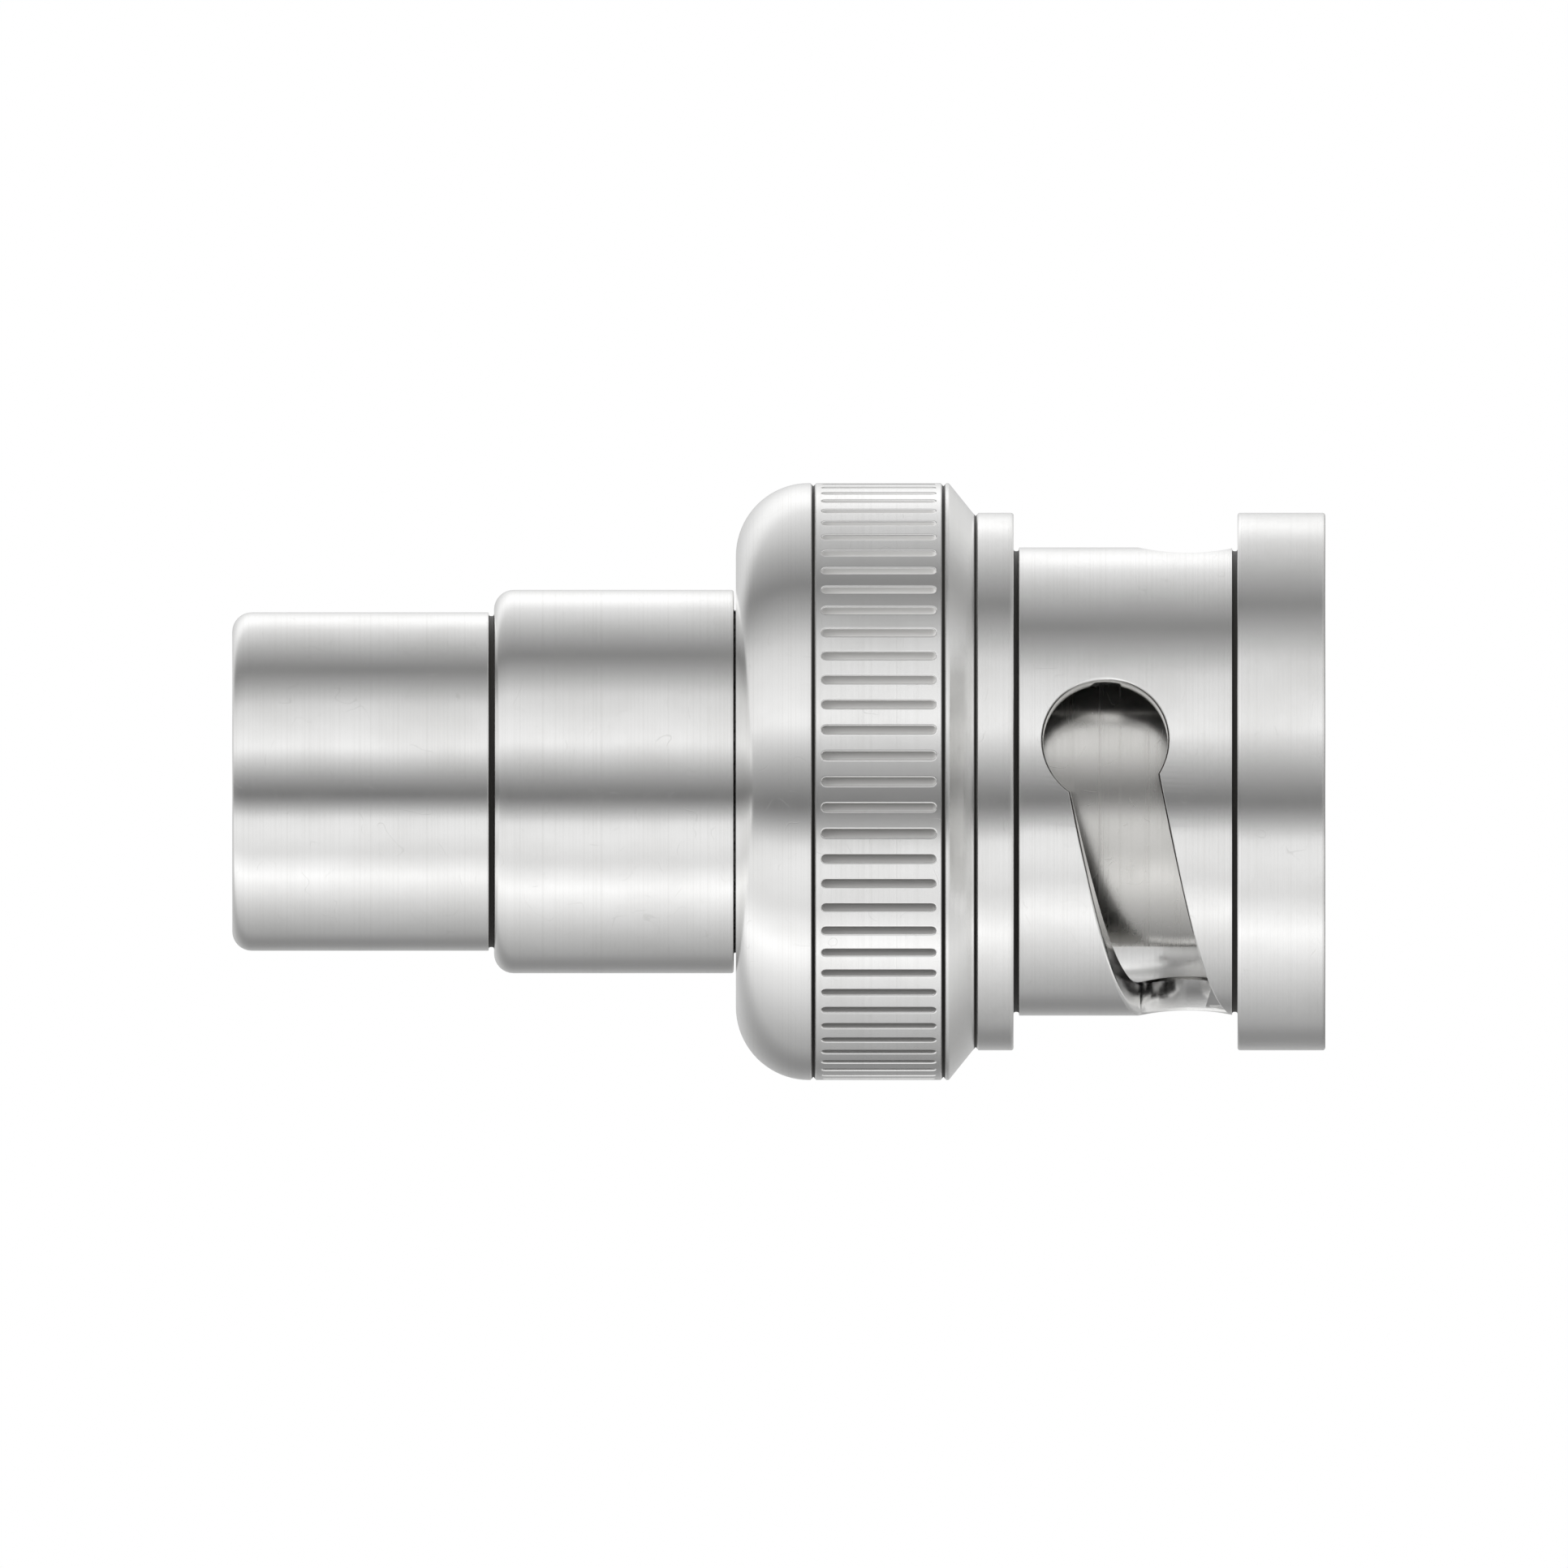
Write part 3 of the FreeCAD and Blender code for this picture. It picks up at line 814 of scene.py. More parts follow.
@contextmanager
def editing(mesh: Mesh) -> Iterator[bmesh.types.BMesh]:
    """Opens a mesh for an edit and writes the edit back.

    Args:
        mesh: the mesh.

    Returns:
        A context that gives its editable form.
    """
    work = bmesh.new()
    work.from_mesh(mesh)
    yield work
    work.to_mesh(mesh)
    work.free()


def close(mesh: Mesh) -> None:
    """Merges doubles, drops faces without area and turns faces outwards.

    Args:
        mesh: the mesh, in millimetres.
    """
    with editing(mesh) as work:
        bmesh.ops.remove_doubles(work, verts=work.verts, dist=MERGE_MM)
        bmesh.ops.dissolve_degenerate(work, edges=work.edges, dist=MERGE_MM / 4)
        bmesh.ops.recalc_face_normals(work, faces=work.faces)
        open_edges = sum(1 for edge in work.edges if len(edge.link_faces) != 2)
    if open_edges:
        log.warning("%s: %d edges without two faces", mesh.name, open_edges)


def joined(meshes: Iterable[Mesh]) -> Mesh:
    """Puts meshes together as one.

    Args:
        meshes: the meshes.

    Returns:
        One mesh.
    """
    result = bpy.data.meshes.new("joined")
    with editing(result) as work:
        for mesh in meshes:
            work.from_mesh(mesh)
    return result


def from_strips(rows: Sequence[Sequence[Vector]], wrap: bool = False, capped: bool = False) -> Mesh:
    """Makes a mesh of quads between rows of points.

    Args:
        rows: rows of equal length.
        wrap: whether each row is a closed ring.
        capped: whether the openings at its ends are closed.

    Returns:
        The mesh.
    """
    width = len(rows[0])
    vertices = [tuple(point) for row in rows for point in row]
    faces = []
    for row in range(len(rows) - 1):
        for column in range(width if wrap else width - 1):
            following = (column + 1) % width
            low, high = row * width, (row + 1) * width
            faces.append((low + column, low + following, high + following, high + column))
    mesh = bpy.data.meshes.new("strips")
    mesh.from_pydata(vertices, [], faces)
    if capped:
        with editing(mesh) as work:
            bmesh.ops.holes_fill(work, edges=work.edges, sides=0)
    return mesh


def zipped(first: Sequence[Vector], second: Sequence[Vector]) -> Mesh:
    """Fills the gap between two lines of points with triangles.

    Args:
        first: one line.
        second: the other line, in the same direction.

    Returns:
        The mesh.
    """
    vertices = [tuple(point) for point in (*first, *second)]
    faces, left, right = [], 0, 0
    while left < len(first) - 1 or right < len(second) - 1:
        left_share = (left + 1) / (len(first) - 1)
        right_share = (right + 1) / (len(second) - 1)
        if left < len(first) - 1 and (left_share <= right_share or right == len(second) - 1):
            faces.append((left, left + 1, len(first) + right))
            left += 1
        else:
            faces.append((left, len(first) + right + 1, len(first) + right))
            right += 1
    mesh = bpy.data.meshes.new("zipped")
    mesh.from_pydata(vertices, [], faces)
    return mesh


def on_axis(radius: float, angle: float, height: float) -> Vector:
    """Gives the point at a distance from the axis, an angle from the -Y side and a height."""
    return Vector((radius * math.sin(angle), -radius * math.cos(angle), height))


def saw_blade(width: float, inner: float, outer: float, low: float, high: float, angle: float) -> Mesh:
    """Makes the saw blade of one slit, which reaches outwards from the axis.

    Args:
        width: width of the slit.
        inner: where the blade starts, from the axis.
        outer: where it ends.
        low: lower end.
        high: upper end.
        angle: direction of the slit, radians.

    Returns:
        A closed mesh.
    """
    outwards = on_axis(1.0, angle, 0.0)
    sideways = Vector((math.cos(angle), math.sin(angle), 0)) * (width / 2)
    corners = ((inner, -1), (outer, -1), (outer, 1), (inner, 1))
    rows = []
    for height in (low, high):
        lift = Vector((0, 0, height))
        rows.append([outwards * reach + sideways * side + lift for reach, side in corners])
    return from_strips(rows, wrap=True, capped=True)


def crossing(function: Callable[[float], float], low: float, high: float) -> float:
    """Finds where a function changes its sign.

    Args:
        function: the function.
        low: one end of the search.
        high: the other end.

    Returns:
        The place of the change.
    """
    halvings = 48
    for _ in range(halvings):
        middle = (low + high) / 2
        if (function(low) < 0) == (function(middle) < 0):
            low = middle
        else:
            high = middle
    return (low + high) / 2


# The bayonet nut


@dataclass
class BayonetNut:
    """The coupling nut: front ring, slotted sleeve, flange, knurled grip and rounded back.

    Sizes are in millimetres. Each ring of a groove is half its width and its depth there. Each wall of a
    slot is a distance from the axis and how far the wall stands back there.
    """

    ring_radius: float = 6.59
    ring_back: float = 2.15
    sleeve_radius: float = 5.74
    flange_front: float = 7.64
    bevel_front: float = 8.64
    grip_front: float = 9.23
    grip_radius: float = 7.32
    back: float = 14.45
    back_round: float = 1.79
    bore: float = 4.93
    lip_bore: float = 4.25
    lip_front: float = 12.93
    mouth_bevel: float = 0.30
    edge: float = 0.06
    inner_edge: float = 0.03
    line_width: float = 0.14
    line_margin: float = 0.04
    band_front: float = 9.43
    band_back: float = 12.44
    segments_per_groove: int = 4

    groove_count: int = 72
    groove_low: float = 9.495
    groove_high: float = 12.395
    groove_rings: tuple[tuple[float, float], ...] = (
        (0.15, 0.0), (0.128, 0.0), (0.12, 0.003), (0.108, 0.02), (0.075, 0.11), (0.03, 0.15), (0.0, 0.158),
    )
    groove_end_steps: int = 6

    slot_half_width: float = 1.095
    slot_entry_level: float = 3.38
    slot_detent_level: float = 5.39
    slot_entry_angle: float = math.radians(-90)
    slot_detent_angle: float = math.radians(10.4)
    entry_end_radius: float = 1.15
    detent_radius: float = 1.53
    slot_walls: tuple[tuple[float, float], ...] = (
        (4.40, 0.06), (4.93, 0.06), (4.99, 0.0), (5.65, 0.0), (5.70, 0.018), (5.74, 0.055), (6.20, 0.055),
    )
    slot_count: int = 2
    entry_end_steps: int = 8
    run_steps: int = 41
    meeting_steps: int = 5
    detent_steps: int = 24
    entry_groove_radius: float = 5.58
    entry_groove_inner: float = 4.5
    entry_groove_front: float = -0.5
    entry_groove_width: float = 2.10
    entry_groove_steps: int = 12

    def outline(self) -> Outline:
        """Gives the turned outline without the knurled band, from the band's back round to its front.

        Returns:
            The open outline.
        """
        back_line = self.band_back + self.line_margin
        corners = [
            (self.grip_radius, self.band_back),
            *fine_line(self.grip_radius, back_line, back_line + self.line_width),
            (self.grip_radius, self.back, self.back_round, 20), (self.lip_bore, self.back, self.edge),
            (self.lip_bore, self.lip_front, self.edge), (self.bore, self.lip_front, self.inner_edge, 2),
            (self.bore, self.mouth_bevel, 0.05, 2), (self.bore + self.mouth_bevel, 0.0, 0.05, 2),
            (self.ring_radius, 0.0, self.edge), (self.ring_radius, self.ring_back, self.edge),
            *relief(self.sleeve_radius, self.ring_back, 1),
            *relief(self.sleeve_radius, self.flange_front, -1),
            (self.ring_radius, self.flange_front, self.edge),
            *fine_line(self.ring_radius, self.bevel_front - self.line_width, self.bevel_front, 0.01),
            (self.grip_radius, self.grip_front, 0.04, 2),
            *fine_line(self.grip_radius, self.band_front - self.line_width, self.band_front),
        ]
        return Outline(corners, closed=False)

    def groove_pitch(self) -> Mesh:
        """Makes one pitch of the knurled band, with the groove in its middle.

        Returns:
            The open patch, in millimetres.
        """
        steps = self.groove_end_steps
        margin = self.groove_rings[0][0]
        ends = ((self.groove_high - margin, 0.0), (self.groove_low + margin, math.pi))
        rings = []
        for half_width, depth in self.groove_rings:
            ring = []
            for end, start_angle in ends:
                for step in range(steps + 1):
                    angle = start_angle + math.pi * step / steps
                    across = half_width * math.cos(angle) / self.grip_radius
                    height = end + half_width * math.sin(angle)
                    ring.append(on_axis(self.grip_radius - depth, across, height))
            rings.append(ring)
        groove = from_strips(rings, wrap=True)

        pitch, count = math.tau / self.groove_count, self.segments_per_groove
        turns = [pitch * (0.5 - step / count) for step in range(count + 1)]
        top = [on_axis(self.grip_radius, turn, self.band_back) for turn in turns]
        bottom = [on_axis(self.grip_radius, turn, self.band_front) for turn in reversed(turns)]
        rim = rings[0]
        land = [
            zipped(top, rim[: steps + 1]),
            zipped(bottom, rim[steps + 1:]),
            from_strips([[top[-1], bottom[0]], [rim[steps], rim[steps + 1]]]),
            from_strips([[bottom[-1], top[0]], [rim[-1], rim[0]]]),
        ]
        return joined([groove, *land])

    def slot_stations(self, radius: float, ease: float) -> list[tuple[float, float, float]]:
        """Follows a bayonet slot from its entry end to its detent hole.

        Args:
            radius: distance from the axis.
            ease: how far the walls stand back.

        Returns:
            Angle, lower height and upper height of each station.
        """
        start, end = self.slot_entry_angle, self.slot_detent_angle
        foot, top = self.slot_entry_level, self.slot_detent_level
        rise = (top - foot) / (end - start)
        half = (self.slot_half_width + ease) * math.hypot(1, rise / self.sleeve_radius)
        entry, detent = self.entry_end_radius + ease, self.detent_radius + ease

        def beside(angle: float, across: float) -> float:
            """Gives the angle of what lies to the side of an angle."""
            return angle + math.asin(across / radius)

        def run(angle: float) -> tuple[float, float, float]:
            """Gives a station of the helical run."""
            middle = foot + rise * (angle - start)
            return angle, middle - half, middle + half

        def gap(across: float, side: int) -> float:
            """Tells how far the detent hole reaches past the run.

            Args:
                across: distance from the hole's middle.
                side: 1 for above the run, -1 for below it.

            Returns:
                The distance, negative where the hole ends inside the run.
            """
            _, low, high = run(beside(end, across))
            reach = math.sqrt(max(detent**2 - across**2, 0.0))
            return top + reach - high if side > 0 else low - (top - reach)

        stations = []
        for step in range(self.entry_end_steps + 1):
            turn = QUARTER * step / self.entry_end_steps
            across, up = -entry * math.cos(turn), entry * math.sin(turn)
            stations.append((beside(start, across), foot - up, foot + up))
        upper, lower = (crossing(lambda across: gap(across, side), -detent, 0.0) for side in (1, -1))
        for step in range(1, self.run_steps):
            stations.append(run(start + step / self.run_steps * (beside(end, upper) - start)))
        for step in range(self.meeting_steps + 1):
            across = upper + (lower - upper) * step / self.meeting_steps
            angle, low, high = run(beside(end, across))
            if step > 0:
                high = top + math.sqrt(detent**2 - across**2)
            stations.append((angle, low, high))
        first = math.acos(lower / detent)
        for step in range(1, self.detent_steps + 1):
            turn = first * (1 - step / self.detent_steps)
            across, up = detent * math.cos(turn), detent * math.sin(turn)
            stations.append((beside(end, across), top - up, top + up))
        return stations

    def slot_cutter(self) -> Mesh:
        """Makes the shape of one bayonet slot, wider where it meets the nut's surfaces.

        Returns:
            A closed mesh.
        """
        rings = []
        for radius, ease in self.slot_walls:
            stations = self.slot_stations(radius, ease)
            upper = [on_axis(radius, angle, high) for angle, _, high in stations]
            lower = [on_axis(radius, angle, low) for angle, low, _ in stations]
            rings.append((upper, lower))
        walls = from_strips([upper + lower[::-1] for upper, lower in rings], wrap=True)
        caps = [from_strips([upper, lower]) for upper, lower in (rings[0], rings[-1])]
        return joined([walls, *caps])

    def entry_cutter(self) -> Mesh:
        """Makes the shape of the inside groove that leads a stud into a slot.

        Returns:
            A closed mesh.
        """
        inner, outer = self.entry_groove_inner, self.entry_groove_radius
        low, high = self.entry_groove_front, self.slot_entry_level
        half = math.asin(self.entry_groove_width / 2 / outer)
        rows = []
        for step in range(self.entry_groove_steps + 1):
            angle = self.slot_entry_angle - half + 2 * half * step / self.entry_groove_steps
            section = ((inner, low), (outer, low), (outer, high), (inner, high))
            rows.append([on_axis(radius, angle, height) for radius, height in section])
        return from_strips(rows, wrap=True, capped=True)

    def build(self, shop: Workshop) -> None:
        """Builds the nut.

        Args:
            shop: the mesh tools.
        """
        turned = shop.turn(self.outline(), self.groove_count * self.segments_per_groove)
        nut = joined([turned, shop.repeat(self.groove_pitch(), self.groove_count)])
        for cutter in (self.entry_cutter(), self.slot_cutter()):
            nut = shop.cut(nut, shop.repeat(cutter, self.slot_count))
        shop.finish("bayonet_nut", nut, NUT_FINISH.material(), "coupling_nut", Body.NUT)


# The other pieces


@dataclass
class NutSpring:
    """The wave washer that pulls the nut back, and the slip washer behind it. Sizes are in millimetres."""

    bore: float = 4.28
    rim: float = 4.83
    wave_low: float = 11.91
    wave_thickness: float = 0.20
    wave_rise: float = 0.58
    wave_count: int = 3
    slip_front: float = 12.70
    slip_back: float = 12.90
    seat: float = 11.90
    pressed_share: float = 0.35
    segments: int = 144

    def washer(self, low: float, high: float) -> Outline:
        """Gives the outline of a stamped washer, soft on its lower edges and sharp on its upper ones.

        Args:
            low: its lower face.
            high: its upper face.

        Returns:
            The closed outline.
        """
        return Outline([
            (self.bore, low, 0.05, 2), (self.rim, low, 0.05, 2),
            (self.rim, high, 0.015, 2), (self.bore, high, 0.015, 2),
        ])

    def build(self, shop: Workshop) -> None:
        """Builds both washers.

        Args:
            shop: the mesh tools.
        """
        steel = SPRING_FINISH.material()
        flat = shop.turn(self.washer(self.wave_low, self.wave_low + self.wave_thickness), self.segments)
        waved = shop.run(flat, shop.wave, Waves=self.wave_count, Rise=self.wave_rise)
        spring = shop.finish("spring_washer", waved, steel, "wave_washer")
        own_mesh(spring)
        slip = shop.turn(self.washer(self.slip_front, self.slip_back), self.segments)
        shop.finish("slide_washer", slip, steel, "slip_washer", Body.SLIDE)


@dataclass
class JackBody:
    """The turned body: neck, barrel and the jack's shell. Sizes are in millimetres."""

    bore: float = 3.45
    neck: float = 4.20
    neck_front: float = 11.90
    barrel: float = 4.70
    barrel_front: float = 14.50
    barrel_back: float = 20.38
    shell: float = 4.15
    end: float = 26.80
    rounding: float = 0.48
    edge: float = 0.06
    segments: int = 256

    def outline(self) -> Outline:
        """Gives the body's outline.

        Returns:
            The closed outline.
        """
        return Outline([
            (self.bore, self.neck_front, 0.04, 2), (self.neck, self.neck_front, self.edge),
            (self.neck, self.barrel_front, 0.03, 2), (self.barrel, self.barrel_front, self.edge),
            (self.barrel, self.barrel_back, self.rounding, 8),
            *relief(self.shell, self.barrel_back, 1),
            (self.shell, self.end, self.rounding, 8), (self.bore, self.end, self.edge),
        ])

    def build(self, shop: Workshop) -> None:
        """Builds the body."""
        mesh = shop.turn(self.outline(), self.segments)
        shop.finish("jack_shell", mesh, BODY_FINISH.material(), "adapter_body")


@dataclass
class PlugCore:
    """What stands inside the nut: slit outer contact, seal, insulator and pin. Sizes are in millimetres."""

    contact: float = 4.05
    contact_bore: float = 3.50
    tip: float = 1.80
    tip_bevel: float = 0.20
    seal_front: float = 10.50
    flange_front: float = 11.30
    neck_front: float = 11.90
    flange: float = 4.83
    seal_seat: float = 4.25
    seal_rim: float = 4.80
    shank: float = 3.45
    shank_bore: float = 3.00
    shank_back: float = 13.20
    insulator_back: float = 11.20
    insulator_front: float = 7.50
    slit_count: int = 2
    slit_width: float = 0.30
    slit_back: float = 6.60
    slit_angle: float = math.radians(52)
    blade_inner: float = 2.00
    blade_outer: float = 5.05
    blade_front: float = 1.30
    pin: float = 0.675
    pin_tip: float = 4.40
    pin_nose: float = 0.38
    pin_root: float = 0.90
    pin_end: float = 11.90
    segments: int = 192
    pin_segments: int = 64

    def contact_outline(self) -> Outline:
        """Gives the outline of the outer contact with its flange and shank.

        Returns:
            The closed outline.
        """
        return Outline([
            (self.contact_bore, self.tip, 0.05, 2), (self.contact - self.tip_bevel, self.tip, 0.06, 2),
            (self.contact, self.tip + self.tip_bevel, 0.06, 2), (self.contact, self.seal_front, 0.03, 2),
            (self.seal_seat, self.seal_front, 0.03, 2), (self.seal_seat, self.flange_front, 0.03, 2),
            (self.flange, self.flange_front, 0.05, 2), (self.flange, self.neck_front, 0.05, 2),
            (self.shank, self.neck_front), (self.shank, self.shank_back, 0.05, 2),
            (self.shank_bore, self.shank_back, 0.03, 2), (self.shank_bore, self.insulator_back, 0.03, 2),
            (self.contact_bore, self.insulator_back),
        ])

    def seal_outline(self) -> Outline:
        """Gives the outline of the seal at the foot of the contact.

        Returns:
            The closed outline.
        """
        return Outline([
            (self.seal_seat, self.seal_front, 0.12), (self.seal_rim, self.seal_front, 0.20, 5),
            (self.seal_rim, self.flange_front, 0.20, 5), (self.seal_seat, self.flange_front, 0.12),
        ])

    def insulator_outline(self) -> Outline:
        """Gives the outline of the insulator that centres the pin.

        Returns:
            The closed outline.
        """
        return Outline([
            (self.pin_root, self.insulator_front, 0.08, 2),
            (self.contact_bore, self.insulator_front, 0.08, 2),
            (self.contact_bore, self.insulator_back, 0.05, 2),
            (self.pin_root, self.insulator_back, 0.05, 2),
        ])

    def pin_outline(self) -> Outline:
        """Gives the outline of the centre pin, from its tip on the axis to its root.

        Returns:
            The open outline.
        """
        return Outline([
            (0.0, self.pin_tip), (self.pin - self.pin_nose, self.pin_tip, 0.12, 4),
            (self.pin, self.pin_tip + self.pin_nose, 0.25, 4), (self.pin, self.insulator_front, 0.02, 2),
            (self.pin_root, self.insulator_front, 0.02, 2), (self.pin_root, self.pin_end, 0.03, 2),
            (0.0, self.pin_end),
        ], closed=False)

    def build(self, shop: Workshop) -> None:
        """Builds the pieces on the plug's side.

        Args:
            shop: the mesh tools.
        """
        reach = (self.blade_inner, self.blade_outer, self.blade_front, self.slit_back)
        blade = saw_blade(self.slit_width, *reach, self.slit_angle)
        contact = shop.turn(self.contact_outline(), self.segments)
        contact = shop.cut(contact, shop.repeat(blade, self.slit_count))
        shop.finish("spring_contact", contact, CONTACT_FINISH.material(), "outer_contact")
        seal = shop.turn(self.seal_outline(), self.segments)
        shop.finish("seal_ring", seal, SEAL_FINISH.material(), "gasket")
        insulator = shop.turn(self.insulator_outline(), self.segments)
        white = INSULATOR_FINISH.material()
        shop.finish("plug_insulator", insulator, white, "front_insulator")
        pin = shop.turn(self.pin_outline(), self.pin_segments)
        shop.finish("plug_pin", pin, GOLD_FINISH.material(), "centre_pin")


@dataclass
class JackCore:
    """What stands inside the jack: slit centre socket and its insulator. Sizes are in millimetres."""

    socket: float = 2.15
    socket_bore: float = 1.60
    root: float = 0.90
    foot: float = 11.20
    floor: float = 12.00
    mouth_level: float = 26.20
    slit_floor: float = 20.20
    slit_count: int = 4
    slit_width: float = 0.35
    slit_angle: float = math.radians(45)
    blade_inner: float = 1.00
    blade_margin: float = 0.50
    room: float = 2.30
    rim: float = 3.45
    insulator_front: float = 13.20
    face: float = 26.65
    mouth: float = 1.75
    mouth_bevel: float = 0.20
    segments: int = 192
    socket_segments: int = 128

    def socket_outline(self) -> Outline:
        """Gives the outline of the socket.

        Returns:
            The closed outline.
        """
        return Outline([
            (self.root, self.foot, 0.04, 2), (self.socket, self.foot, 0.06, 2),
            (self.socket, self.mouth_level, 0.05, 2), (self.socket_bore, self.mouth_level, 0.12, 3),
            (self.socket_bore, self.floor, 0.05, 2), (self.root, self.floor, 0.04, 2),
        ])

    def insulator_outline(self) -> Outline:
        """Gives the outline of the insulator whose face closes the jack.

        Returns:
            The closed outline.
        """
        return Outline([
            (self.room, self.insulator_front, 0.04, 2), (self.rim, self.insulator_front, 0.06, 2),
            (self.rim, self.face, 0.06, 2), (self.mouth + self.mouth_bevel, self.face, 0.05, 2),
            (self.mouth, self.face - self.mouth_bevel, 0.05, 2), (self.mouth, self.mouth_level, 0.02, 2),
            (self.room, self.mouth_level, 0.02, 2),
        ])

    def build(self, shop: Workshop) -> None:
        """Builds the pieces on the jack's side.

        Args:
            shop: the mesh tools.
        """
        outer, high = self.socket + self.blade_margin, self.mouth_level + self.blade_margin
        blade = saw_blade(self.slit_width, self.blade_inner, outer, self.slit_floor, high, self.slit_angle)
        socket = shop.turn(self.socket_outline(), self.socket_segments)
        socket = shop.cut(socket, shop.repeat(blade, self.slit_count))
        shop.finish("jack_socket", socket, GOLD_FINISH.material(), "centre_socket")
        insulator = shop.turn(self.insulator_outline(), self.segments)
        white = INSULATOR_FINISH.material()
        shop.finish("jack_insulator", insulator, white, "rear_insulator")


# The studio


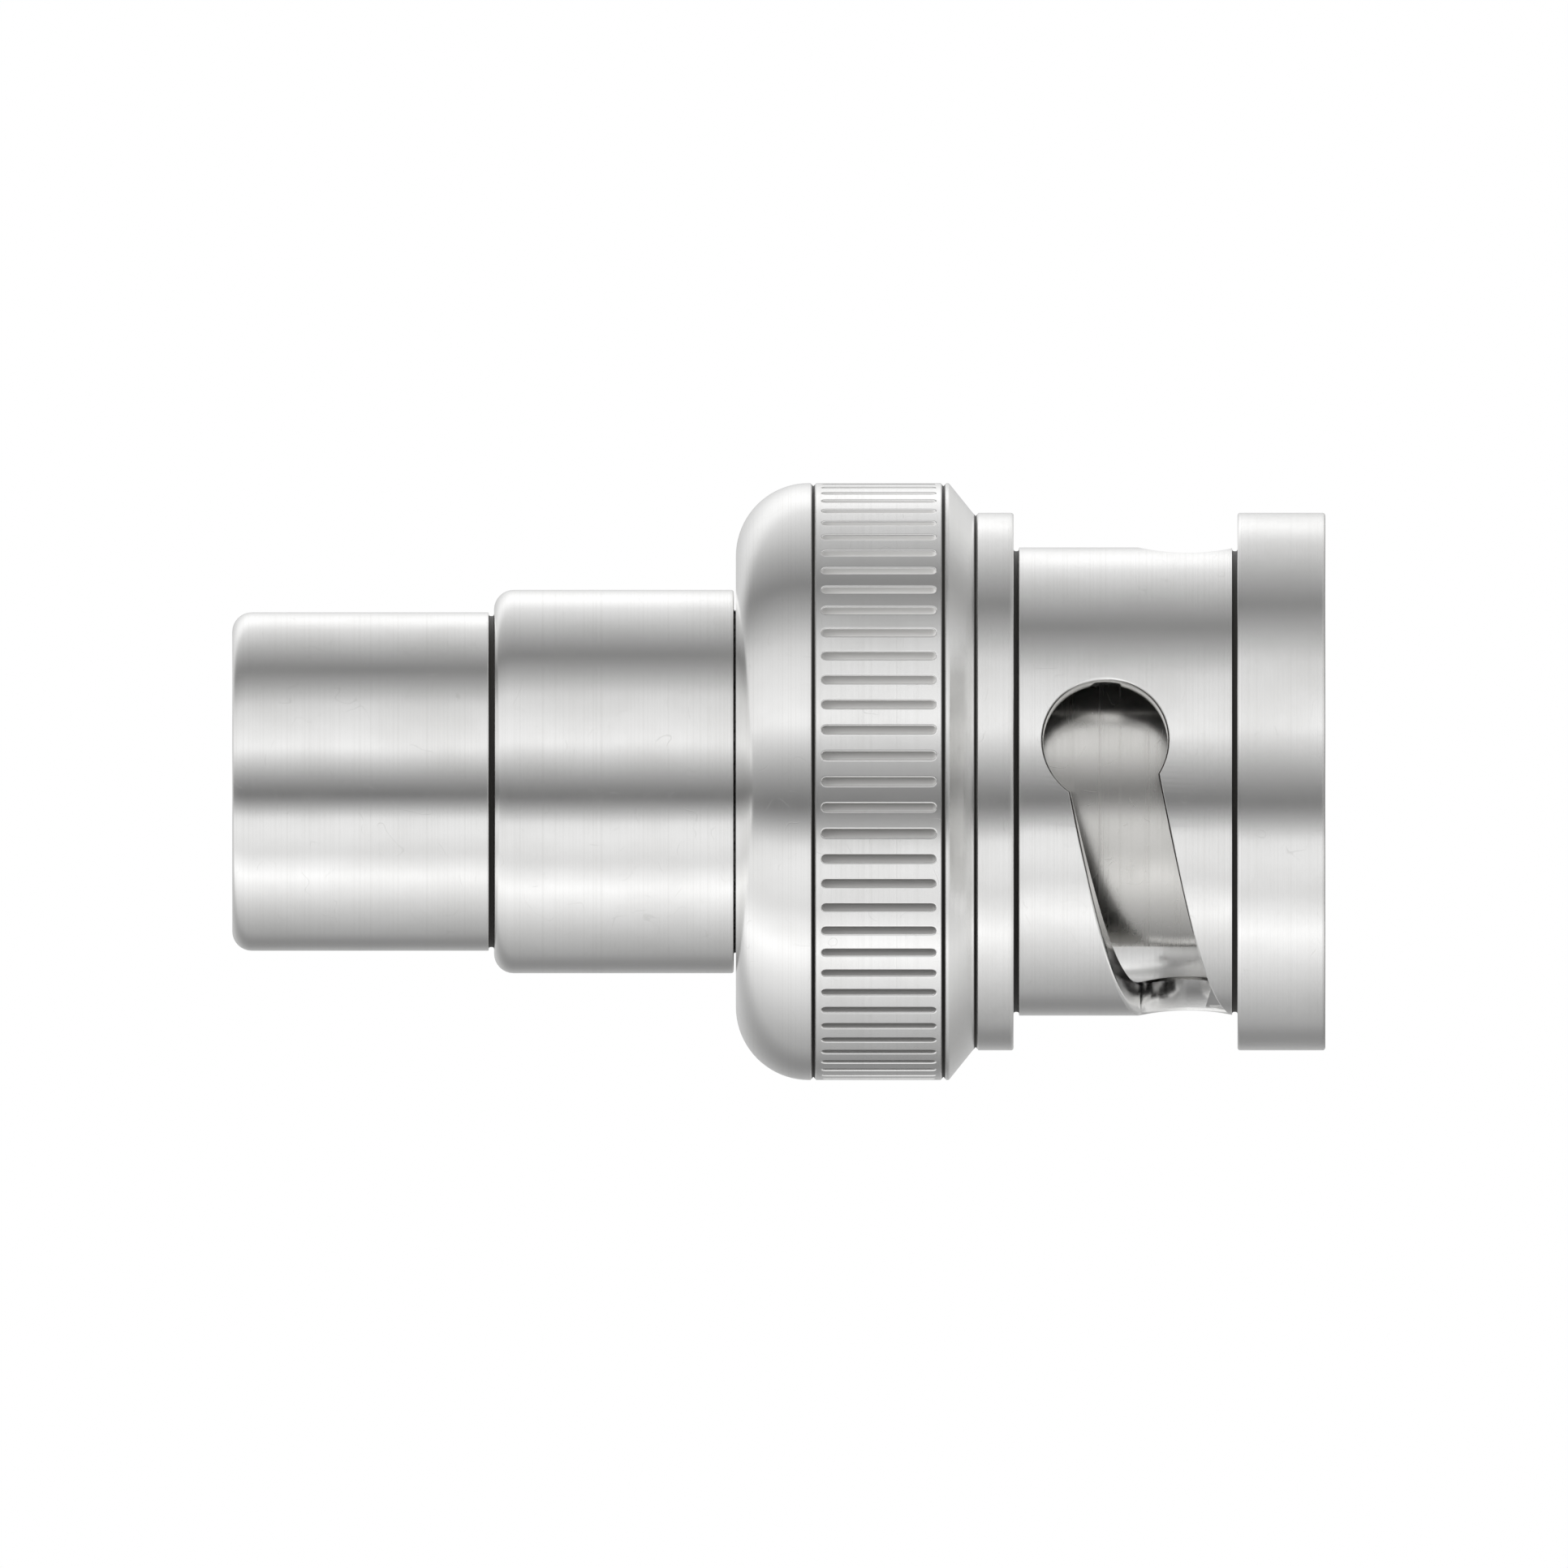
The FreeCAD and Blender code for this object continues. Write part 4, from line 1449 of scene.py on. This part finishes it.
@dataclass
class Studio:
    """Floor, walls, lamp and camera. Sizes are in metres where a name doesn't say millimetres.

    The strips of the walls run up from the floor. Each is where an upright cylinder shows it to the camera,
    from -1 at its -X edge to 1 at its +X edge, and how bright it looks there, as a display value. Behind the
    part they fade into a plain end, over the stretch that end_fade gives, because they would meet in a cusp.
    """

    strips: tuple[tuple[float, float], ...] = (
        (-1.0, 0.74), (-0.985, 0.55), (-0.56, 1.06), (-0.42, 0.90), (-0.30, 0.95), (-0.22, 0.94),
        (-0.08, 0.44), (0.20, 0.99), (0.45, 0.87), (0.66, 0.50), (0.985, 1.06), (1.0, 0.80),
    )
    view_width: float = 0.03845
    view_height: float = 0.01327
    view_side: float = -0.00006
    camera_distance: float = 0.30
    floor_radius: float = 0.50
    floor_colour: Colour = (0.88, 0.88, 0.875)
    floor_shade: float = 0.97
    clear_radius_mm: float = 25.0
    white_radius_mm: float = 95.0
    wall_light: float = 0.46
    wall_tilt: float = 0.92
    least_light: float = 0.02
    end_fade: tuple[float, float] = (0.04, 0.40)
    end_grey: float = 0.80
    end_slope: float = 0.48
    key_watts: float = 0.36
    key_size: float = 0.16
    key_place: tuple[float, float, float] = (0.09, -0.08, 0.26)

    def build(self) -> None:
        """Builds the studio."""
        self.build_floor()
        self.build_walls()
        self.hang_key()
        self.build_camera()

    def build_floor(self) -> None:
        """Lays the pale round floor under the nut's front, matte to the camera and silky to what shines."""
        mesh = bpy.data.meshes.new("floor")
        with editing(mesh) as work:
            bmesh.ops.create_circle(work, cap_ends=True, segments=128, radius=self.floor_radius)
        floor = placed("floor", mesh)
        shader = Shader("floor_paper")
        grain = shader.noise(shader.in_millimetres(), scale=1.5, octaves=3.0)
        shade = tuple(self.floor_shade * part for part in self.floor_colour)
        paper = shader.mix(grain, self.floor_colour, shade)
        shader.set(Base_Color=paper, Roughness=0.12, Metallic=0.75)
        matte = shader.node("ShaderNodeBsdfDiffuse", inputs={"Color": paper})
        white = shader.node("ShaderNodeEmission", inputs={"Strength": 1.0})
        far = shader.radius.step(self.clear_radius_mm, self.white_radius_mm)
        sweep = shader.node("ShaderNodeMixShader", inputs={0: far, 1: matte, 2: white})
        seen = shader.node("ShaderNodeLightPath").outputs["Is Camera Ray"]
        looks = shader.node("ShaderNodeMixShader", inputs={0: seen, 1: shader.surface, 2: sweep})
        shader.feed(shader.shown, looks)
        mesh.materials.append(shader.material)
        floor.visible_diffuse = False
        floor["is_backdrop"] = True

    def build_walls(self) -> None:
        """Makes the world: plain light on what is matte, and walls with strips for what shines."""
        world = bpy.data.worlds.new("walls")
        world.use_nodes = True
        bpy.context.scene.world = world
        tree = Tree(world.node_tree)
        direction = tree.node("ShaderNodeTexCoord").outputs["Generated"]
        parts = tree.node("ShaderNodeSeparateXYZ", inputs={0: direction})
        x, y, _ = (Field(tree, part) for part in parts.outputs)
        ahead = 1.0 - y
        least = 1e-6
        shown_side = x / (x * x + ahead * ahead + least) ** 0.5
        stops = [((side + 1) / 2, grey) for side, grey in self.strips]
        ramp = tree.field("ShaderNodeValToRGB", {"stops": stops}, {0: (shown_side + 1.0) / 2})
        shown = ahead.step(*self.end_fade)
        grey = ramp * shown + (1.0 - shown) * (x * self.end_slope + self.end_grey)
        # The display's curve turned round, so that each strip looks as bright as its grey says
        walls = ((grey + 0.055) / 1.055) ** 2.4
        rays = tree.node("ShaderNodeLightPath").outputs
        kinds = ("Camera", "Glossy", "Transmission")
        seen, glossy, through = (Field(tree, rays[f"Is {kind} Ray"]) for kind in kinds)
        shiny = glossy.math("MAXIMUM", through)
        plain = (x * self.wall_tilt + self.wall_light).math("MAXIMUM", self.least_light)
        level = seen + (1.0 - seen) * (walls * shiny + plain * (1.0 - shiny))
        light = tree.node("ShaderNodeBackground", inputs={"Color": (1, 1, 1, 1), "Strength": level})
        tree.node("ShaderNodeOutputWorld", inputs={0: light})

    def hang_key(self) -> None:
        """Hangs the soft key lamp above the jack's end, towards the +X side, for matte surfaces only."""
        bulb = bpy.data.lights.new("key", "AREA")
        bulb.shape = "DISK"
        bulb.size = self.key_size
        bulb.energy = self.key_watts
        lamp = placed("key", bulb)
        lamp.location = self.key_place
        aim = Vector((0, 0, self.view_height)) - lamp.location
        lamp.rotation_euler = aim.to_track_quat("-Z", "Y").to_euler()
        lamp.visible_glossy = False

    def build_camera(self) -> None:
        """Sets the level camera in front, turned so that +X is up and the jack's end is on the left."""
        lens = bpy.data.cameras.new("camera")
        lens.type = "ORTHO"
        lens.ortho_scale = self.view_width
        camera = placed("camera", lens)
        right, up, back = (0, 0, -1), (1, 0, 0), (0, -1, 0)
        place = (self.view_side, -self.camera_distance, self.view_height)
        camera.matrix_world = Matrix((*zip(right, up, back, place), (0, 0, 0, 1)))
        bpy.context.scene.camera = camera


@dataclass
class SizeNote:
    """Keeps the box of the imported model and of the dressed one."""

    boxes: dict[str, list[list[float]]] = field(default_factory=dict)

    def take(self, name: str) -> None:
        """Takes the box of what is shown now, under a name."""
        self.boxes[name] = [list(corner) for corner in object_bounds()]

    def write(self) -> None:
        """Writes nothing; the boxes stay in memory."""


def main() -> None:
    """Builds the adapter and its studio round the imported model."""
    logging.basicConfig(level=logging.INFO, format="%(message)s")
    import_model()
    sizes = SizeNote()
    sizes.take("cad")
    bpy.context.scene.view_settings.view_transform = "Standard"
    shop = Workshop()
    for assembly in (BayonetNut(), NutSpring(), JackBody(), PlugCore(), JackCore()):
        assembly.build(shop)
    Studio().build()
    bpy.context.view_layer.update()
    sizes.take("visual")
    sizes.write()


if __name__ == "__main__":
    main()
